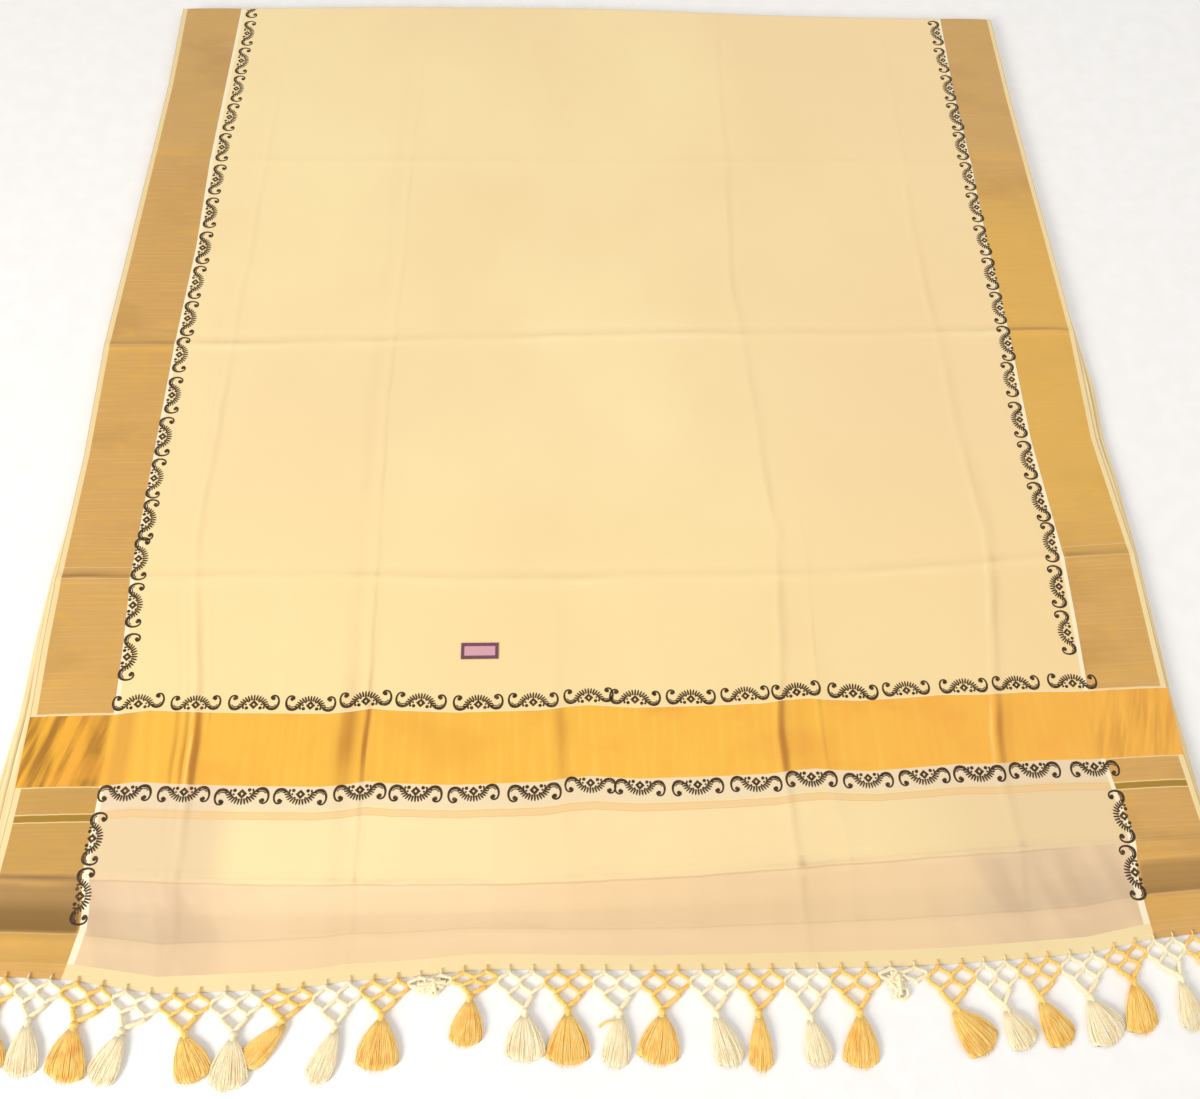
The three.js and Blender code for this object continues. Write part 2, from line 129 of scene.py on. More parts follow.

# Creases that run lengthwise: where each lies at six distances from the hem, and its height there.
# Its tones are painted highlights and painted shade lines beside it: distance from the crease, half width,
# and strength.
CREASE_STOPS = [0, 110, 220, 450, 800, 1321]
LONG_CREASES = [
    {"lies": [-418, -420, -423, -443, -440, -432], "height": [0.3, 0.8, 1.7, 0.7, 0.6, 0.2], "width": 5,
     "tones": [(-16, 3, -0.4), (-6, 3, -0.5), (-1, 1.6, 0.8), (5, 4.5, -0.8), (17, 2, -0.35)]},
    {"lies": [-340, -338, -336, -334, -330, -326], "height": [0.1, 0.2, 0.5, 0.1, 0.0, 0.0], "width": 6,
     "tones": [(0, 2, -0.5)]},
    {"lies": [-256, -255, -251, -249, -248, -240], "height": [0.3, 0.6, 1.2, 0.6, 0.5, 0.2], "width": 6,
     "tones": [(-16, 11, -0.75), (3, 2.8, -1.1), (8, 2, 0.35)]},
    {"lies": [-46, -48, -51, -53, -50, -44], "height": [0.0, 0.3, 0.8, 0.1, 0.1, 0.0], "width": 7,
     "tones": [(-2, 8, -0.75)]},
    {"lies": [176, 174, 173, 192, 168, 178], "height": [0.3, 0.7, 1.5, 0.7, 0.7, 0.3], "width": 5,
     "tones": [(-7, 2.5, 0.3), (1, 4.5, -0.9), (20, 14, -0.25)]},
    {"lies": [226, 222, 217, 221, 216, 219], "height": [0.1, 0.3, 0.8, 0.2, 0.0, 0.0], "width": 6,
     "tones": [(0, 2, -1.0), (11, 11, -0.3)]},
    {"lies": [386, 390, 399, 425, 410, 414], "height": [0.3, 0.6, 1.5, 0.9, 0.6, 0.3], "width": 5,
     "tones": [(-5, 2, 0.7), (4, 5, -0.8), (15, 5, -0.3)]},
]

# Painted shade and highlight on the gold borders along their length, where their slopes face away from or
# towards the light, from dark at -1 to bright at 1
BORDER_STOPS = [145, 256, 262, 335, 385, 397, 402, 415, 470, 718, 724, 740, 1006, 1020, 1060]
BORDER_SHADING = [-0.1, -0.1, 0.25, 0.15, 0.15, -0.3, -0.25, -0.15, 0.05, 0.25, -0.2, 0.0, -0.15, 0.4, -0.05]
LEFT_PALLU_STOPS = [0, 33, 38, 60, 66, 83, 88, 145]
LEFT_PALLU_SHADING = [0.15, 0.1, -0.95, -0.8, -0.7, -0.8, -0.15, -0.15]
RIGHT_PALLU_STOPS = [0, 31, 36, 64, 67, 70, 74, 95, 99, 145]
RIGHT_PALLU_SHADING = [0.25, 0.2, -0.6, -0.5, 0.3, 0.3, -0.25, -0.2, 0.0, -0.05]

# How far the cloth near the band wanders from its cross lines, where creases pull it
WANDER_STOPS = [-590, -505, -470, -430, -380, -290, -268, -245, -222, -160, -70, -45, -22, 0, 25, 110, 160,
                182, 205, 228, 260, 310, 350, 390, 440, 490, 590]
WANDER_SHIFT = [-3, -1.5, 3.0, 1.0, -0.5, -2.4, -0.9, 2.2, -0.3, -3.9, -3.6, -0.5, 0.9, -1.2, -3.3, -2.8,
                -1.6, 1.0, 2.4, 0.0, -1.9, 0.0, 1.6, 0.0, 0.9, -1.0, 0]

# How far the hem wanders along, and the fringe across, from where the lines put them
HEM_STOPS = [-505, -424, -368, -310, -277, -254, -196, -140, -110, -54, 23, 168, 374, 450, 509, 590]
HEM_SHIFT = [-4, -11, -6, -2, 0.5, 4, 5.5, 8.5, 7.5, 4, 0, -2, -6, -8, -2, 0]
FRINGE_STOPS = [-549, -506, -484, -396, -353, -290, -196, -160, -87, -14, 59, 207, 246, 322, 410, 484, 549]
FRINGE_SHIFT = [-5, -8, -4, -3.5, -1, 2.5, 1.5, -2, -4.5, -3, 0, 1, 4, 7.5, 3, 4, -4]

# The camera's eye, from the middle of the cloth's hem and over its top level, and the number of steps
# that find the cloth on one of its lines of sight
EYE = (-60.2, -137.9, 1110)
SIGHT_STEPS = 8

# Where the wandering fades: into and out of the part near the band, and away from the hem
BAND_WANDER_IN, BAND_WANDER_OUT = (60, 160), (280, 420)
HEM_WANDER_OUT = (18, 66)


def table_column(table, column, along):
    """One column of a table, read at distances along the cloth."""
    return np.interp(along, [row[0] for row in table], [row[column] for row in table])


def smooth_places(values, x):
    """A smooth curve through the five places of a cross line."""
    step = PLACES[1] - PLACES[0]
    position = np.clip((x - PLACES[0]) / step, 0, len(PLACES) - 1.001)
    index = np.floor(position).astype(int)
    share = position - index
    value = np.array(values, float)
    last = len(PLACES) - 1
    here = value[index]
    following = value[index + 1]
    slope_here = (following - value[np.maximum(index - 1, 0)]) / 2
    slope_next = (value[np.minimum(index + 2, last)] - here) / 2
    rise = following - here
    square = (3 * rise - 2 * slope_here - slope_next) * share ** 2
    cube = (slope_here + slope_next - 2 * rise) * share ** 3
    return here + slope_here * share + square + cube


def line_y(x, along):
    """How far from the camera's side a point lies, between the two cross lines beside it."""
    stops = np.array([place for place, _ in CROSS_LINES], float)
    lines = np.array([smooth_places(lies, x) for _, lies in CROSS_LINES])
    index = np.clip(np.searchsorted(stops, along, side="right"), 1, len(stops) - 1)
    share = (along - stops[index - 1]) / (stops[index] - stops[index - 1])
    column = np.arange(len(x))
    return lines[index - 1, column] * (1 - share) + lines[index, column] * share


def line_x(across, along):
    """How far from the middle a point lies, between the edges of the borders."""
    knots = [-CLOTH_EDGE, -CLOTH_INNER, CLOTH_INNER, CLOTH_EDGE]
    sides = np.array([table_column(SIDE_LINES, column, along) for column in (1, 2, 3, 4)])
    part = np.clip(np.searchsorted(knots, across, side="right") - 1, 0, 2)
    share = (across - np.take(knots, part)) / np.take(np.diff(knots), part)
    column = np.arange(len(across))
    return sides[part, column] * (1 - share) + sides[part + 1, column] * share


def ripple(value, seed):
    """A smooth uneven wave between about -1 and 1, the same each run."""
    slow = np.sin(value / 61 + 1.7 * seed)
    middle = np.sin(value / 23 + 3.1 * seed)
    quick = np.sin(value / 9.7 + 5.3 * seed)
    return 0.5 * slow + 0.33 * middle + 0.17 * quick


def smoothstep(start, stop, value):
    """A soft rise from 0 at start to 1 at stop."""
    share = np.clip((value - start) / (stop - start), 0, 1)
    return share * share * (3 - 2 * share)


def cross_crease_offset(crease, across, along):
    """How far past a cross crease a point lies."""
    wander = 1.5 * ripple(across, crease["along"] * 0.01)
    return along - crease["along"] - wander


def crease_strength(crease, across):
    """A cross crease fades in and out along its length, between about 0.5 and 1."""
    return 0.75 + 0.25 * ripple(across * 0.8, crease["along"] * 0.02 + 1)


def long_crease_parts(crease, across, along):
    """Offset from a lengthwise crease, and its height there."""
    place = np.interp(along, CREASE_STOPS, crease["lies"])
    wander = 2.0 * ripple(along, crease["lies"][0] * 0.013)
    height = np.interp(along, CREASE_STOPS, crease["height"])
    return across - place - wander, height


def bump_profile(offset, width):
    """A soft ridge with a narrow crest."""
    return np.exp(-np.abs(offset) / width) * (1 - 0.35 * np.exp(-(offset / (0.35 * width)) ** 2))


def cloth_height(across, along):
    """Height of the cloth's upper face."""
    slope = smoothstep(SLOPE_START, SLOPE_END, along)
    height = FLOOR_LEVEL + (TOP_LEVEL - FLOOR_LEVEL) * slope
    for crease in CROSS_CREASES:
        offset = cross_crease_offset(crease, across, along)
        uneven = crease_strength(crease, across)
        width = crease["width"]
        trough = bump_profile(offset - TROUGH_PLACE * width, width)
        height = height + crease["ridge"] * uneven * bump_profile(offset, width)
        height = height - crease["trough"] * uneven * slope * trough
    for crease in LONG_CREASES:
        offset, rise = long_crease_parts(crease, across, along)
        width = crease["width"]
        uneven = 0.75 + 0.25 * ripple(along, crease["lies"][0] * 0.01)
        trough = bump_profile(offset - TROUGH_PLACE * width, width)
        height = height + rise * uneven * bump_profile(offset, width)
        height = height - 0.35 * rise * uneven * trough
    billow = 0.45 * ripple(across * 0.7 + along * 0.25, 0.4) * ripple(along * 0.8 - across * 0.2, 1.3)
    border = smoothstep(CLOTH_INNER, CLOTH_INNER + 30, np.abs(across))
    border = border * (1 - smoothstep(CLOTH_EDGE - 25, CLOTH_EDGE, np.abs(across)))
    height = height + slope * (billow + border * (0.5 + 0.5 * ripple(along, 2.2)))
    panel = (1 - smoothstep(PANEL_END - 20, PANEL_END + 20, along)) * smoothstep(HEM_DEPTH, 30, along)
    return height + panel * 0.5 * (1 + ripple(across * 1.6, 3.0))


def painted_shading(across, along):
    """How much painted highlight brightens, above 0, or painted shade darkens, below 0, the cloth beside
    its creases and on the gold borders.
    """
    tone = np.zeros(len(across))
    for crease in CROSS_CREASES:
        offset = cross_crease_offset(crease, across, along)
        width = crease["width"]
        uneven = crease["tone"] * (2 * crease_strength(crease, across) - 1)
        tone = tone + uneven * np.exp(-((offset + 0.9 * width) / width) ** 2)
        tone = tone - uneven * np.exp(-((offset - 0.5 * width) / (0.6 * width)) ** 2)
    for crease in LONG_CREASES:
        offset, rise = long_crease_parts(crease, across, along)
        uneven = rise * (0.7 + 0.3 * ripple(along, crease["lies"][0] * 0.02))
        for place, half, strength in crease["tones"]:
            tone = tone + uneven * strength * np.exp(-((offset - place) / half) ** 2)
    body_shading = np.interp(along, BORDER_STOPS, BORDER_SHADING)
    left_shading = np.interp(along, LEFT_PALLU_STOPS, LEFT_PALLU_SHADING)
    right_shading = np.interp(along, RIGHT_PALLU_STOPS, RIGHT_PALLU_SHADING)
    slope_shading = np.where(along > BAND_END, body_shading, np.where(across < 0, left_shading, right_shading))
    on_border = (np.abs(across) > CLOTH_INNER) & ((along < BAND_START) | (along > BAND_END))
    return np.clip(np.where(on_border, tone + slope_shading, tone), -1, 1)


def hem_wander(x):
    """How far the hem lies from its cross line."""
    return np.interp(x, HEM_STOPS, HEM_SHIFT)


def flat_points(across, along):
    """Points of the cloth before they are placed in the part's frame."""
    across = np.asarray(across, float)
    along = np.asarray(along, float)
    turn = np.maximum(0, along - FAR_FOLD_START) / FAR_FOLD_RADIUS
    flat_along = np.minimum(along, FAR_FOLD_START)
    x = line_x(across, along)
    near_band = smoothstep(*BAND_WANDER_IN, along) * (1 - smoothstep(*BAND_WANDER_OUT, along))
    wander = np.interp(across, WANDER_STOPS, WANDER_SHIFT) * near_band
    wander = wander + hem_wander(x) * (1 - smoothstep(*HEM_WANDER_OUT, along))
    y = line_y(x, flat_along) + wander + FAR_FOLD_RADIUS * np.sin(turn)
    z = cloth_height(across, flat_along) - FAR_FOLD_RADIUS * (1 - np.cos(turn))
    return np.stack([x, y, z], axis=1)


# The CAD band gives where the cloth lies in the part's frame
band_low, band_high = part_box("pallu_band")
band_columns = np.linspace(-CLOTH_EDGE, CLOTH_EDGE, 400)
band_x = line_x(band_columns, np.full(400, BAND_START))
band_y = line_y(band_x, np.full(400, BAND_START))
SHIFT = np.array([(band_low[0] + band_high[0]) / 2 / MM - (band_x.min() + band_x.max()) / 2,
                  band_low[1] / MM - band_y.min(), 0])


def cloth_points(across, along):
    """Points of the cloth's upper face in the part's frame, in millimetres."""
    return flat_points(across, along) + SHIFT


def cloth_normals(across, along):
    """Normals of the cloth's upper face, from points half a millimetre apart."""
    reach = 0.5
    across = np.asarray(across, float)
    along = np.asarray(along, float)
    across_way = flat_points(across + reach, along) - flat_points(across - reach, along)
    along_way = flat_points(across, along + reach) - flat_points(across, along - reach)
    normal = np.cross(across_way, along_way)
    return normal / np.linalg.norm(normal, axis=1, keepdims=True)


def cloth_seen_at(x, y):
    """Cloth coordinates of the points that the camera sees at x and y of the top layer's level."""
    across = np.array(x, float)
    along = np.array(y, float)
    for _ in range(SIGHT_STEPS):
        lies = flat_points(across, along)
        drop = (TOP_LEVEL - lies[:, 2]) / EYE[2]
        across = across + x + (x - EYE[0]) * drop - lies[:, 0]
        along = np.clip(along + y + (y - EYE[1]) * drop - lies[:, 1], 0, FAR_FOLD_END)
    return across, along


class MeshParts:
    """Collects points in millimetres and faces, and makes one object of them."""

    def __init__(self):
        self.points = []
        self.faces = []
        self.count = 0

    def add(self, points, faces):
        points = np.asarray(points, float)
        self.faces.extend([[corner + self.count for corner in face] for face in faces])
        self.points.append(points)
        self.count += len(points)

    def build(self, name, material, smooth=True):
        mesh = bpy.data.meshes.new(name)
        points = np.concatenate(self.points) * MM
        mesh.from_pydata(points.tolist(), [], self.faces)
        mesh.polygons.foreach_set("use_smooth", [smooth] * len(mesh.polygons))
        mesh.materials.append(material)
        mesh.update()
        piece = bpy.data.objects.new(name, mesh)
        bpy.context.scene.collection.objects.link(piece)
        return piece


def add_painted_shading(piece, tones):
    """Keeps the painted shade and highlight of each point of a piece."""
    attribute = piece.data.attributes.new("tone", "FLOAT", "POINT")
    attribute.data.foreach_set("value", tones)


def place_piece(piece, node=None):
    """Rides a piece on the root body, and hides the part that it replaces."""
    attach(piece, "root")
    if node:
        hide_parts(node)


# Node materials
def tint(code):
    """A linear colour from a web colour."""
    parts = [int(code[i:i + 2], 16) / 255 for i in (0, 2, 4)]
    return [p / 12.92 if p <= 0.04045 else ((p + 0.055) / 1.055) ** 2.4 for p in parts] + [1.0]


class Shader:
    """A short way to write a node material, which keeps the colour painted so far."""

    def __init__(self, name, roughness, sheen=0.0, metallic=0.0, specular=0.3, colour=None):
        self.colour = colour
        self.material = bpy.data.materials.new(name)
        self.material.use_nodes = True
        self.tree = self.material.node_tree
        self.surface = self.tree.nodes["Principled BSDF"]
        self.surface.inputs["Roughness"].default_value = roughness
        self.surface.inputs["Sheen Weight"].default_value = sheen
        self.surface.inputs["Metallic"].default_value = metallic
        self.surface.inputs["Specular IOR Level"].default_value = specular

    def feed(self, socket, value):
        """Links a node's output to a socket, or sets the socket to a value or to a web colour."""
        if isinstance(value, bpy.types.NodeSocket):
            self.tree.links.new(value, socket)
        else:
            socket.default_value = tint(value) if isinstance(value, str) else value

    def node(self, kind, inputs=None, **settings):
        made = self.tree.nodes.new(kind)
        for key, value in settings.items():
            setattr(made, key, value)
        for key, value in (inputs or {}).items():
            self.feed(made.inputs[key], value)
        return made

    def mapped(self, place, **inputs):
        return self.node("ShaderNodeMapping", {"Vector": place, **inputs}).outputs["Vector"]

    def cloth_place(self, scale=(1, 1, 1), turn=0.0):
        """Cloth coordinates in metres, turned and scaled."""
        place = self.node("ShaderNodeUVMap", uv_map="cloth").outputs["UV"]
        if turn:
            place = self.mapped(place, Rotation=(0, 0, turn))
        return self.mapped(place, Scale=scale)

    def split(self, vector):
        return self.node("ShaderNodeSeparateXYZ", {"Vector": vector}).outputs

    def cloth_axes(self):
        """Across, along and the distance from the middle of the width."""
        parts = self.split(self.cloth_place())
        return parts[0], parts[1], self.math("ABSOLUTE", parts[0])

    def noise(self, place, detail):
        inputs = {"Vector": place, "Scale": 1.0, "Detail": detail}
        return self.node("ShaderNodeTexNoise", inputs).outputs["Fac"]

    def cloth_noise(self, across, along, detail=2.0, turn=0.0):
        """Noise that lies in the cloth, with its own fineness across and along."""
        return self.noise(self.cloth_place((across, along, 1), turn), detail)

    def solid_noise(self, scale, detail=2.0):
        """Noise that fills space."""
        place = self.node("ShaderNodeTexCoord").outputs["Object"]
        return self.noise(self.mapped(place, Scale=scale), detail)

    def range(self, value, low, high, to_low=0.0, to_high=1.0):
        """Maps a value from one range to another, smoothly."""
        inputs = {"Value": value, "From Min": low, "From Max": high, "To Min": to_low, "To Max": to_high}
        kind = "ShaderNodeMapRange"
        return self.node(kind, inputs, interpolation_type="SMOOTHSTEP").outputs["Result"]

    def math(self, operation, first, second=0.0):
        return self.node("ShaderNodeMath", {0: first, 1: second}, operation=operation).outputs[0]

    def times(self, first, second):
        return self.math("MULTIPLY", first, second)

    def mix(self, share, first, second):
        made = self.node("ShaderNodeMix", data_type="RGBA")
        for key, value in (("Factor", share), ("A", first), ("B", second)):
            self.feed([socket for socket in made.inputs if socket.name == key and socket.enabled][0], value)
        return [socket for socket in made.outputs if socket.enabled][0]

    def paint(self, over, share, *more):
        """Lays a colour over the one so far, by a share that is the product of all those given."""
        for part in more:
            share = self.times(share, part)
        self.colour = self.mix(share, self.colour, over)

    def stripe(self, value, start, stop, soft):
        """1 between start and stop, 0 outside."""
        rise = self.range(value, start - soft, start + soft)
        fall = self.range(value, stop - soft, stop + soft)
        return self.math("SUBTRACT", rise, fall)

    def ragged(self, value, across, along, reach):
        """A value that wanders a little, for a woven line that isn't quite straight."""
        return self.math("ADD", value, self.times(self.cloth_noise(across, along), reach))

    def finish(self, relief, strength, depth=0.0002):
        """Joins the colour and the fine relief to the surface, and gives the material."""
        self.feed(self.surface.inputs["Base Color"], self.colour)
        bump = self.node("ShaderNodeBump", {"Height": relief, "Strength": strength, "Distance": depth})
        self.feed(self.surface.inputs["Normal"], bump.outputs["Normal"])
        return self.material


# Web colours of the cloth
CREAM = "FBE0A9"
CREAM_LIGHT = "FFE8B0"
CREAM_SHADE = "F0CC9B"
CREAM_PALE = "FFF1CF"
PANEL_TAN = "EECEA0"
PANEL_GREY = "DFC4A2"
GOLD = "D8A75E"
GOLD_DARK = "B98C48"
GOLD_LIGHT = "EBC070"
BAND_GOLD = "FCBE42"
BAND_LIGHT = "FFCF58"
BAND_CREASE_SHADE = "BF7C26"
OLIVE_GOLD = "AE8428"
INK = "45331F"
INK_PALE = "745A40"

# Places in the cloth, in metres: the pale line inside each border, where the selvedge begins, the pale
# threads across the borders with their strength, and the threads of the narrow cross stripe
INNER_LINE = (0.5005, 0.507)
SELVEDGE = (0.5812, 0.5820)
# A thin painted shadow line along the outer edge of each selvedge
SELVEDGE_SHADOW_LINE = (0.5872, 0.5878)
BORDER_THREADS = [
    (0.0110, 0.3), (0.0350, 0.35), (0.0860, 0.3), (0.1461, 1.0), (0.1548, 1.0),
    (0.1836, 1.0), (0.2580, 1.0), (0.4000, 0.6), (0.4140, 0.45), (0.7250, 0.35),
]
STRIPE_THREADS = (0.1468, 0.1544)
BAND_EDGES = ((0.182, 0.1838), (0.2562, 0.258))
THREADS, FINE_THREADS = 6300, 7900
COTTON = {"roughness": 0.85, "sheen": 0.15, "specular": 0.2}


def weave_height(shader, threads=THREADS):
    """The fine over and under of a plain weave."""
    parts = shader.split(shader.cloth_place((threads, threads, 1)))
    return shader.times(shader.math("SINE", parts[0]), shader.math("SINE", parts[1]))


def paint_shade_and_highlight(shader, dark, light, strength):
    """Paints shade and highlight into the colour beside creases and grooves, from each point's tone."""
    tone = shader.node("ShaderNodeAttribute", attribute_name="tone").outputs["Fac"]
    shader.paint(dark, shader.range(shader.times(tone, -strength), 0, 1))
    shader.paint(light, shader.range(shader.times(tone, strength), 0, 1))


def paint_cotton(shader, main, light, shade):
    """Cotton with broad soft patches and fine uneven threads."""
    shader.colour = main
    shader.paint(light, shader.range(shader.cloth_noise(3.2, 2.4, 4.0), 0.35, 0.68))
    weft = shader.range(shader.cloth_noise(14, 900), 0.5, 0.85)
    warp = shader.range(shader.cloth_noise(900, 14), 0.35, 0.8)
    shader.paint(shade, weft, warp, 0.35)


def paint_thin_cotton(shader, across):
    """Cream cotton whose sides turn tan, where fewer layers lie below it."""
    paint_cotton(shader, CREAM, CREAM_LIGHT, CREAM_SHADE)
    shader.paint("E9CFA6", shader.range(across, -0.36, -0.40), 0.8)
    shader.paint("ECCFA0", shader.range(across, 0.24, 0.42), 0.75)


def paint_gold(shader, main, light, dark, streak_across, streak_along):
    """Metallic weft with uneven streaks and broad darker patches."""
    streaks = shader.range(shader.cloth_noise(streak_across, streak_along, 3.0), 0.42, 0.72, 0.0, 0.4)
    patches = shader.range(shader.cloth_noise(7, 11, 3.0), 0.5, 0.75, 0.0, 0.6)
    shader.colour = main
    shader.paint(light, streaks)
    shader.paint(dark, patches)


def field_material():
    shader = Shader("field_cotton", **COTTON)
    across, along, side = shader.cloth_axes()
    paint_cotton(shader, CREAM, CREAM_LIGHT, CREAM_SHADE)
    # Painted light: pinker and darker towards the right, where the light is weaker, and yellower at the
    # near end, where it is brighter
    shader.paint("F9D9A6", shader.range(across, 0.0, 0.45), 0.5)
    shader.paint("FCDD98", shader.range(along, 0.65, 0.30), 0.35)
    shader.paint(CREAM_PALE, shader.stripe(side, *INNER_LINE, 0.0004))
    # Painted shade and highlight beside the creases
    paint_shade_and_highlight(shader, "DDB683", "FFF3CE", 0.55)
    return shader.finish(weave_height(shader, FINE_THREADS), 0.25)


def pallu_field_material():
    shader = Shader("pallu_cotton", **COTTON)
    across, along, side = shader.cloth_axes()
    paint_thin_cotton(shader, across)
    shader.paint("F0DCC0", shader.stripe(along, 0.1563, 0.1835, 0.0008), 0.55)
    wobble = shader.ragged(along, 60, 4, 0.0012)
    shader.paint("F4C98A", shader.stripe(wobble, 0.1467, 0.1545, 0.0004), 0.6)
    for line in STRIPE_THREADS:
        thread = shader.stripe(wobble, line - 0.0004, line + 0.0004, 0.0003)
        shader.paint("E5B878", thread, 0.5)
    shader.paint(CREAM_PALE, shader.stripe(side, *INNER_LINE, 0.0004))
    # Painted shade and highlight beside the creases
    paint_shade_and_highlight(shader, "D8B283", "FFF3CE", 0.55)
    return shader.finish(weave_height(shader, FINE_THREADS), 0.25)


def end_panel_material():
    shader = Shader("panel_cotton", roughness=0.88, sheen=0.12, specular=0.2)
    across, along, side = shader.cloth_axes()
    paint_cotton(shader, PANEL_TAN, "F6D7AB", "E2BF95")
    sides = shader.math("ADD", shader.range(across, -0.33, -0.42), shader.range(across, 0.28, 0.40))
    patches = shader.range(shader.cloth_noise(14, 22, 3.0), 0.3, 0.6, 0.3, 0.9)
    shader.paint(PANEL_GREY, sides, patches)
    # Painted shade of shallow slanting wrinkles at the sides
    slanting_shade = shader.range(shader.cloth_noise(30, 8, 1.0, -0.45), 0.42, 0.66, 0.0, 0.6)
    shader.paint("D3B594", slanting_shade, sides)
    line = shader.ragged(along, 22, 3, 0.003)
    shader.paint("F5D4A6", shader.range(line, 0.0355, 0.0345), 0.4)
    # Painted shadow of the crease near the hem, a thin dark line
    shader.paint("C9A67C", shader.stripe(line, 0.0347, 0.0362, 0.0008), 0.22)
    past_fold = shader.range(line, 0.0820, 0.0832)
    fading = shader.range(line, 0.0820, 0.0930, 0.45, 1.0)
    panel = shader.colour
    paint_thin_cotton(shader, across)
    thin_cotton, shader.colour = shader.colour, panel
    shader.paint(thin_cotton, past_fold, fading)
    # Painted shadow of the fold at the panel's top, a thin dark line that fades out towards the right
    fold_shadow_line = shader.stripe(line, 0.0814, 0.0832, 0.0007)
    shader.paint("C29E70", fold_shadow_line, shader.range(across, 0.46, 0.40), 0.35)
    shader.paint(CREAM_PALE, shader.stripe(side, 0.4985, 0.507, 0.0005))
    # Painted shade and highlight beside the creases
    paint_shade_and_highlight(shader, "BFA27C", "FFE9C4", 0.7)
    return shader.finish(weave_height(shader), 0.35, 0.00025)


def border_material():
    shader = Shader("border_zari", roughness=0.55, sheen=0.1, metallic=0.15, specular=0.4)
    across, along, side = shader.cloth_axes()
    paint_gold(shader, GOLD, GOLD_LIGHT, GOLD_DARK, 9, 420)
    clouds = shader.range(shader.cloth_noise(38, 60, 3.0), 0.5, 0.75, 0.0, 0.45)
    shader.paint("E7B24C", clouds)
    shader.paint("D4AC6C", shader.range(along, 0.95, 1.05), 0.4)
    left, right = shader.range(across, 0.0, -0.1), shader.range(across, 0.0, 0.1)
    shader.paint("BC923C", shader.range(along, 0.19, 0.18), left, 0.4)
    shader.paint("F0BE4E", shader.stripe(along, 0.42, 0.95, 0.08), right, 0.5)
    wobble = shader.ragged(along, 70, 6, 0.0016)
    shader.paint(OLIVE_GOLD, shader.stripe(wobble, 0.1468, 0.1540, 0.0005))
    for line, strength in BORDER_THREADS:
        thread = shader.stripe(wobble, line - 0.0005, line + 0.0005, 0.0004)
        shader.paint("FBE0A0", thread, strength)
    # Painted shade and highlight beside the creases and on the sloping borders
    paint_shade_and_highlight(shader, "8E6A34", "F2BC50", 1.0)
    shader.paint("F9E0A6", shader.range(side, *SELVEDGE))
    # Painted shadow along the outer edge of the selvedge
    shader.paint("A07C4C", shader.range(side, *SELVEDGE_SHADOW_LINE, 0.0, 0.7))
    return shader.finish(weave_height(shader), 0.3)


def band_material():
    shader = Shader("band_zari", roughness=0.5, sheen=0.15, metallic=0.1, specular=0.4)
    across, along, side = shader.cloth_axes()
    paint_gold(shader, BAND_GOLD, BAND_LIGHT, "F0A838", 130, 9)
    on_left = shader.range(across, -0.503, -0.512)
    on_right = shader.times(shader.range(across, 0.490, 0.510), 0.6)
    streaks = shader.range(shader.cloth_noise(95, 11, 2.0, 0.3), 0.40, 0.66)
    shader.paint("F2AC26", on_left, 0.7)
    shader.paint("AC761C", shader.math("ADD", on_left, on_right), streaks)
    shader.paint("B07A20", shader.stripe(side, 0.503, 0.527, 0.004), on_left, 0.5)
    shader.paint("DE9C3C", shader.stripe(across, -0.500, -0.482, 0.006), 0.6)
    blotches = shader.range(shader.cloth_noise(16, 22, 3.0), 0.5, 0.72, 0.0, 0.5)
    shader.paint("F6A93A", blotches)
    # Painted shade: the band turns darker and more orange towards the right, where the light is weaker
    shader.paint("F8AC42", shader.range(across, 0.05, 0.5), 0.45)
    # Painted shade and highlight beside the creases
    paint_shade_and_highlight(shader, BAND_CREASE_SHADE, "FFDE8C", 0.9)
    wobble = shader.ragged(along, 80, 4, 0.0008)
    for low, high in BAND_EDGES:
        shader.paint(CREAM_PALE, shader.stripe(wobble, low, high, 0.0004))
    return shader.finish(weave_height(shader), 0.25)


def hem_material():
    shader = Shader("hem_cotton", **COTTON)
    side = shader.cloth_axes()[2]
    paint_gold(shader, GOLD, GOLD_LIGHT, GOLD_DARK, 9, 420)
    gold = shader.colour
    paint_cotton(shader, "F3DAA3", "F8E2AE", CREAM_SHADE)
    shader.paint(gold, shader.range(side, 0.5045, 0.5055))
    shader.paint(CREAM_PALE, shader.range(side, *SELVEDGE))
    # Painted shade and highlight beside the creases
    paint_shade_and_highlight(shader, "D8B283", CREAM_PALE, 0.5)
    return shader.finish(weave_height(shader), 0.3)


def layers_material():
    """The folded layers: cream edges with painted shade in the grooves between them."""
    shader = Shader("folded_cotton", colour="FFE9B4", **COTTON)
    threads = shader.solid_noise((300, 12, 900))
    shader.paint("F3D69C", shader.range(threads, 0.35, 0.75))
    # Painted shade between the lips, in the grooves and at the foot of the stack
    paint_shade_and_highlight(shader, "8F6A40", "FFEBB8", 1.0)
    return shader.finish(threads, 0.3)


def ink_material():
    shader = Shader("print_ink", roughness=0.8, sheen=0.1, specular=0.2, colour=INK)
    patches = shader.solid_noise((260, 260, 1), 3.0)
    shader.paint(INK_PALE, shader.range(patches, 0.45, 0.8))
    return shader.finish(patches, 0.2, 0.0001)


def label_material():
    shader = Shader("label_cloth", roughness=0.7, sheen=0.2, specular=0.3, colour="6E4152")
    across, along, _ = shader.cloth_axes()
    threads = shader.cloth_noise(300, 2200)
    shader.paint("86566A", shader.range(threads, 0.4, 0.7))
    middle_across = shader.stripe(across, -0.1525, -0.1205, 0.0004)
    middle_along = shader.stripe(along, 0.3155, 0.3255, 0.0004)
    shader.paint("D9A4AE", middle_across, middle_along)
    return shader.finish(threads, 0.3)


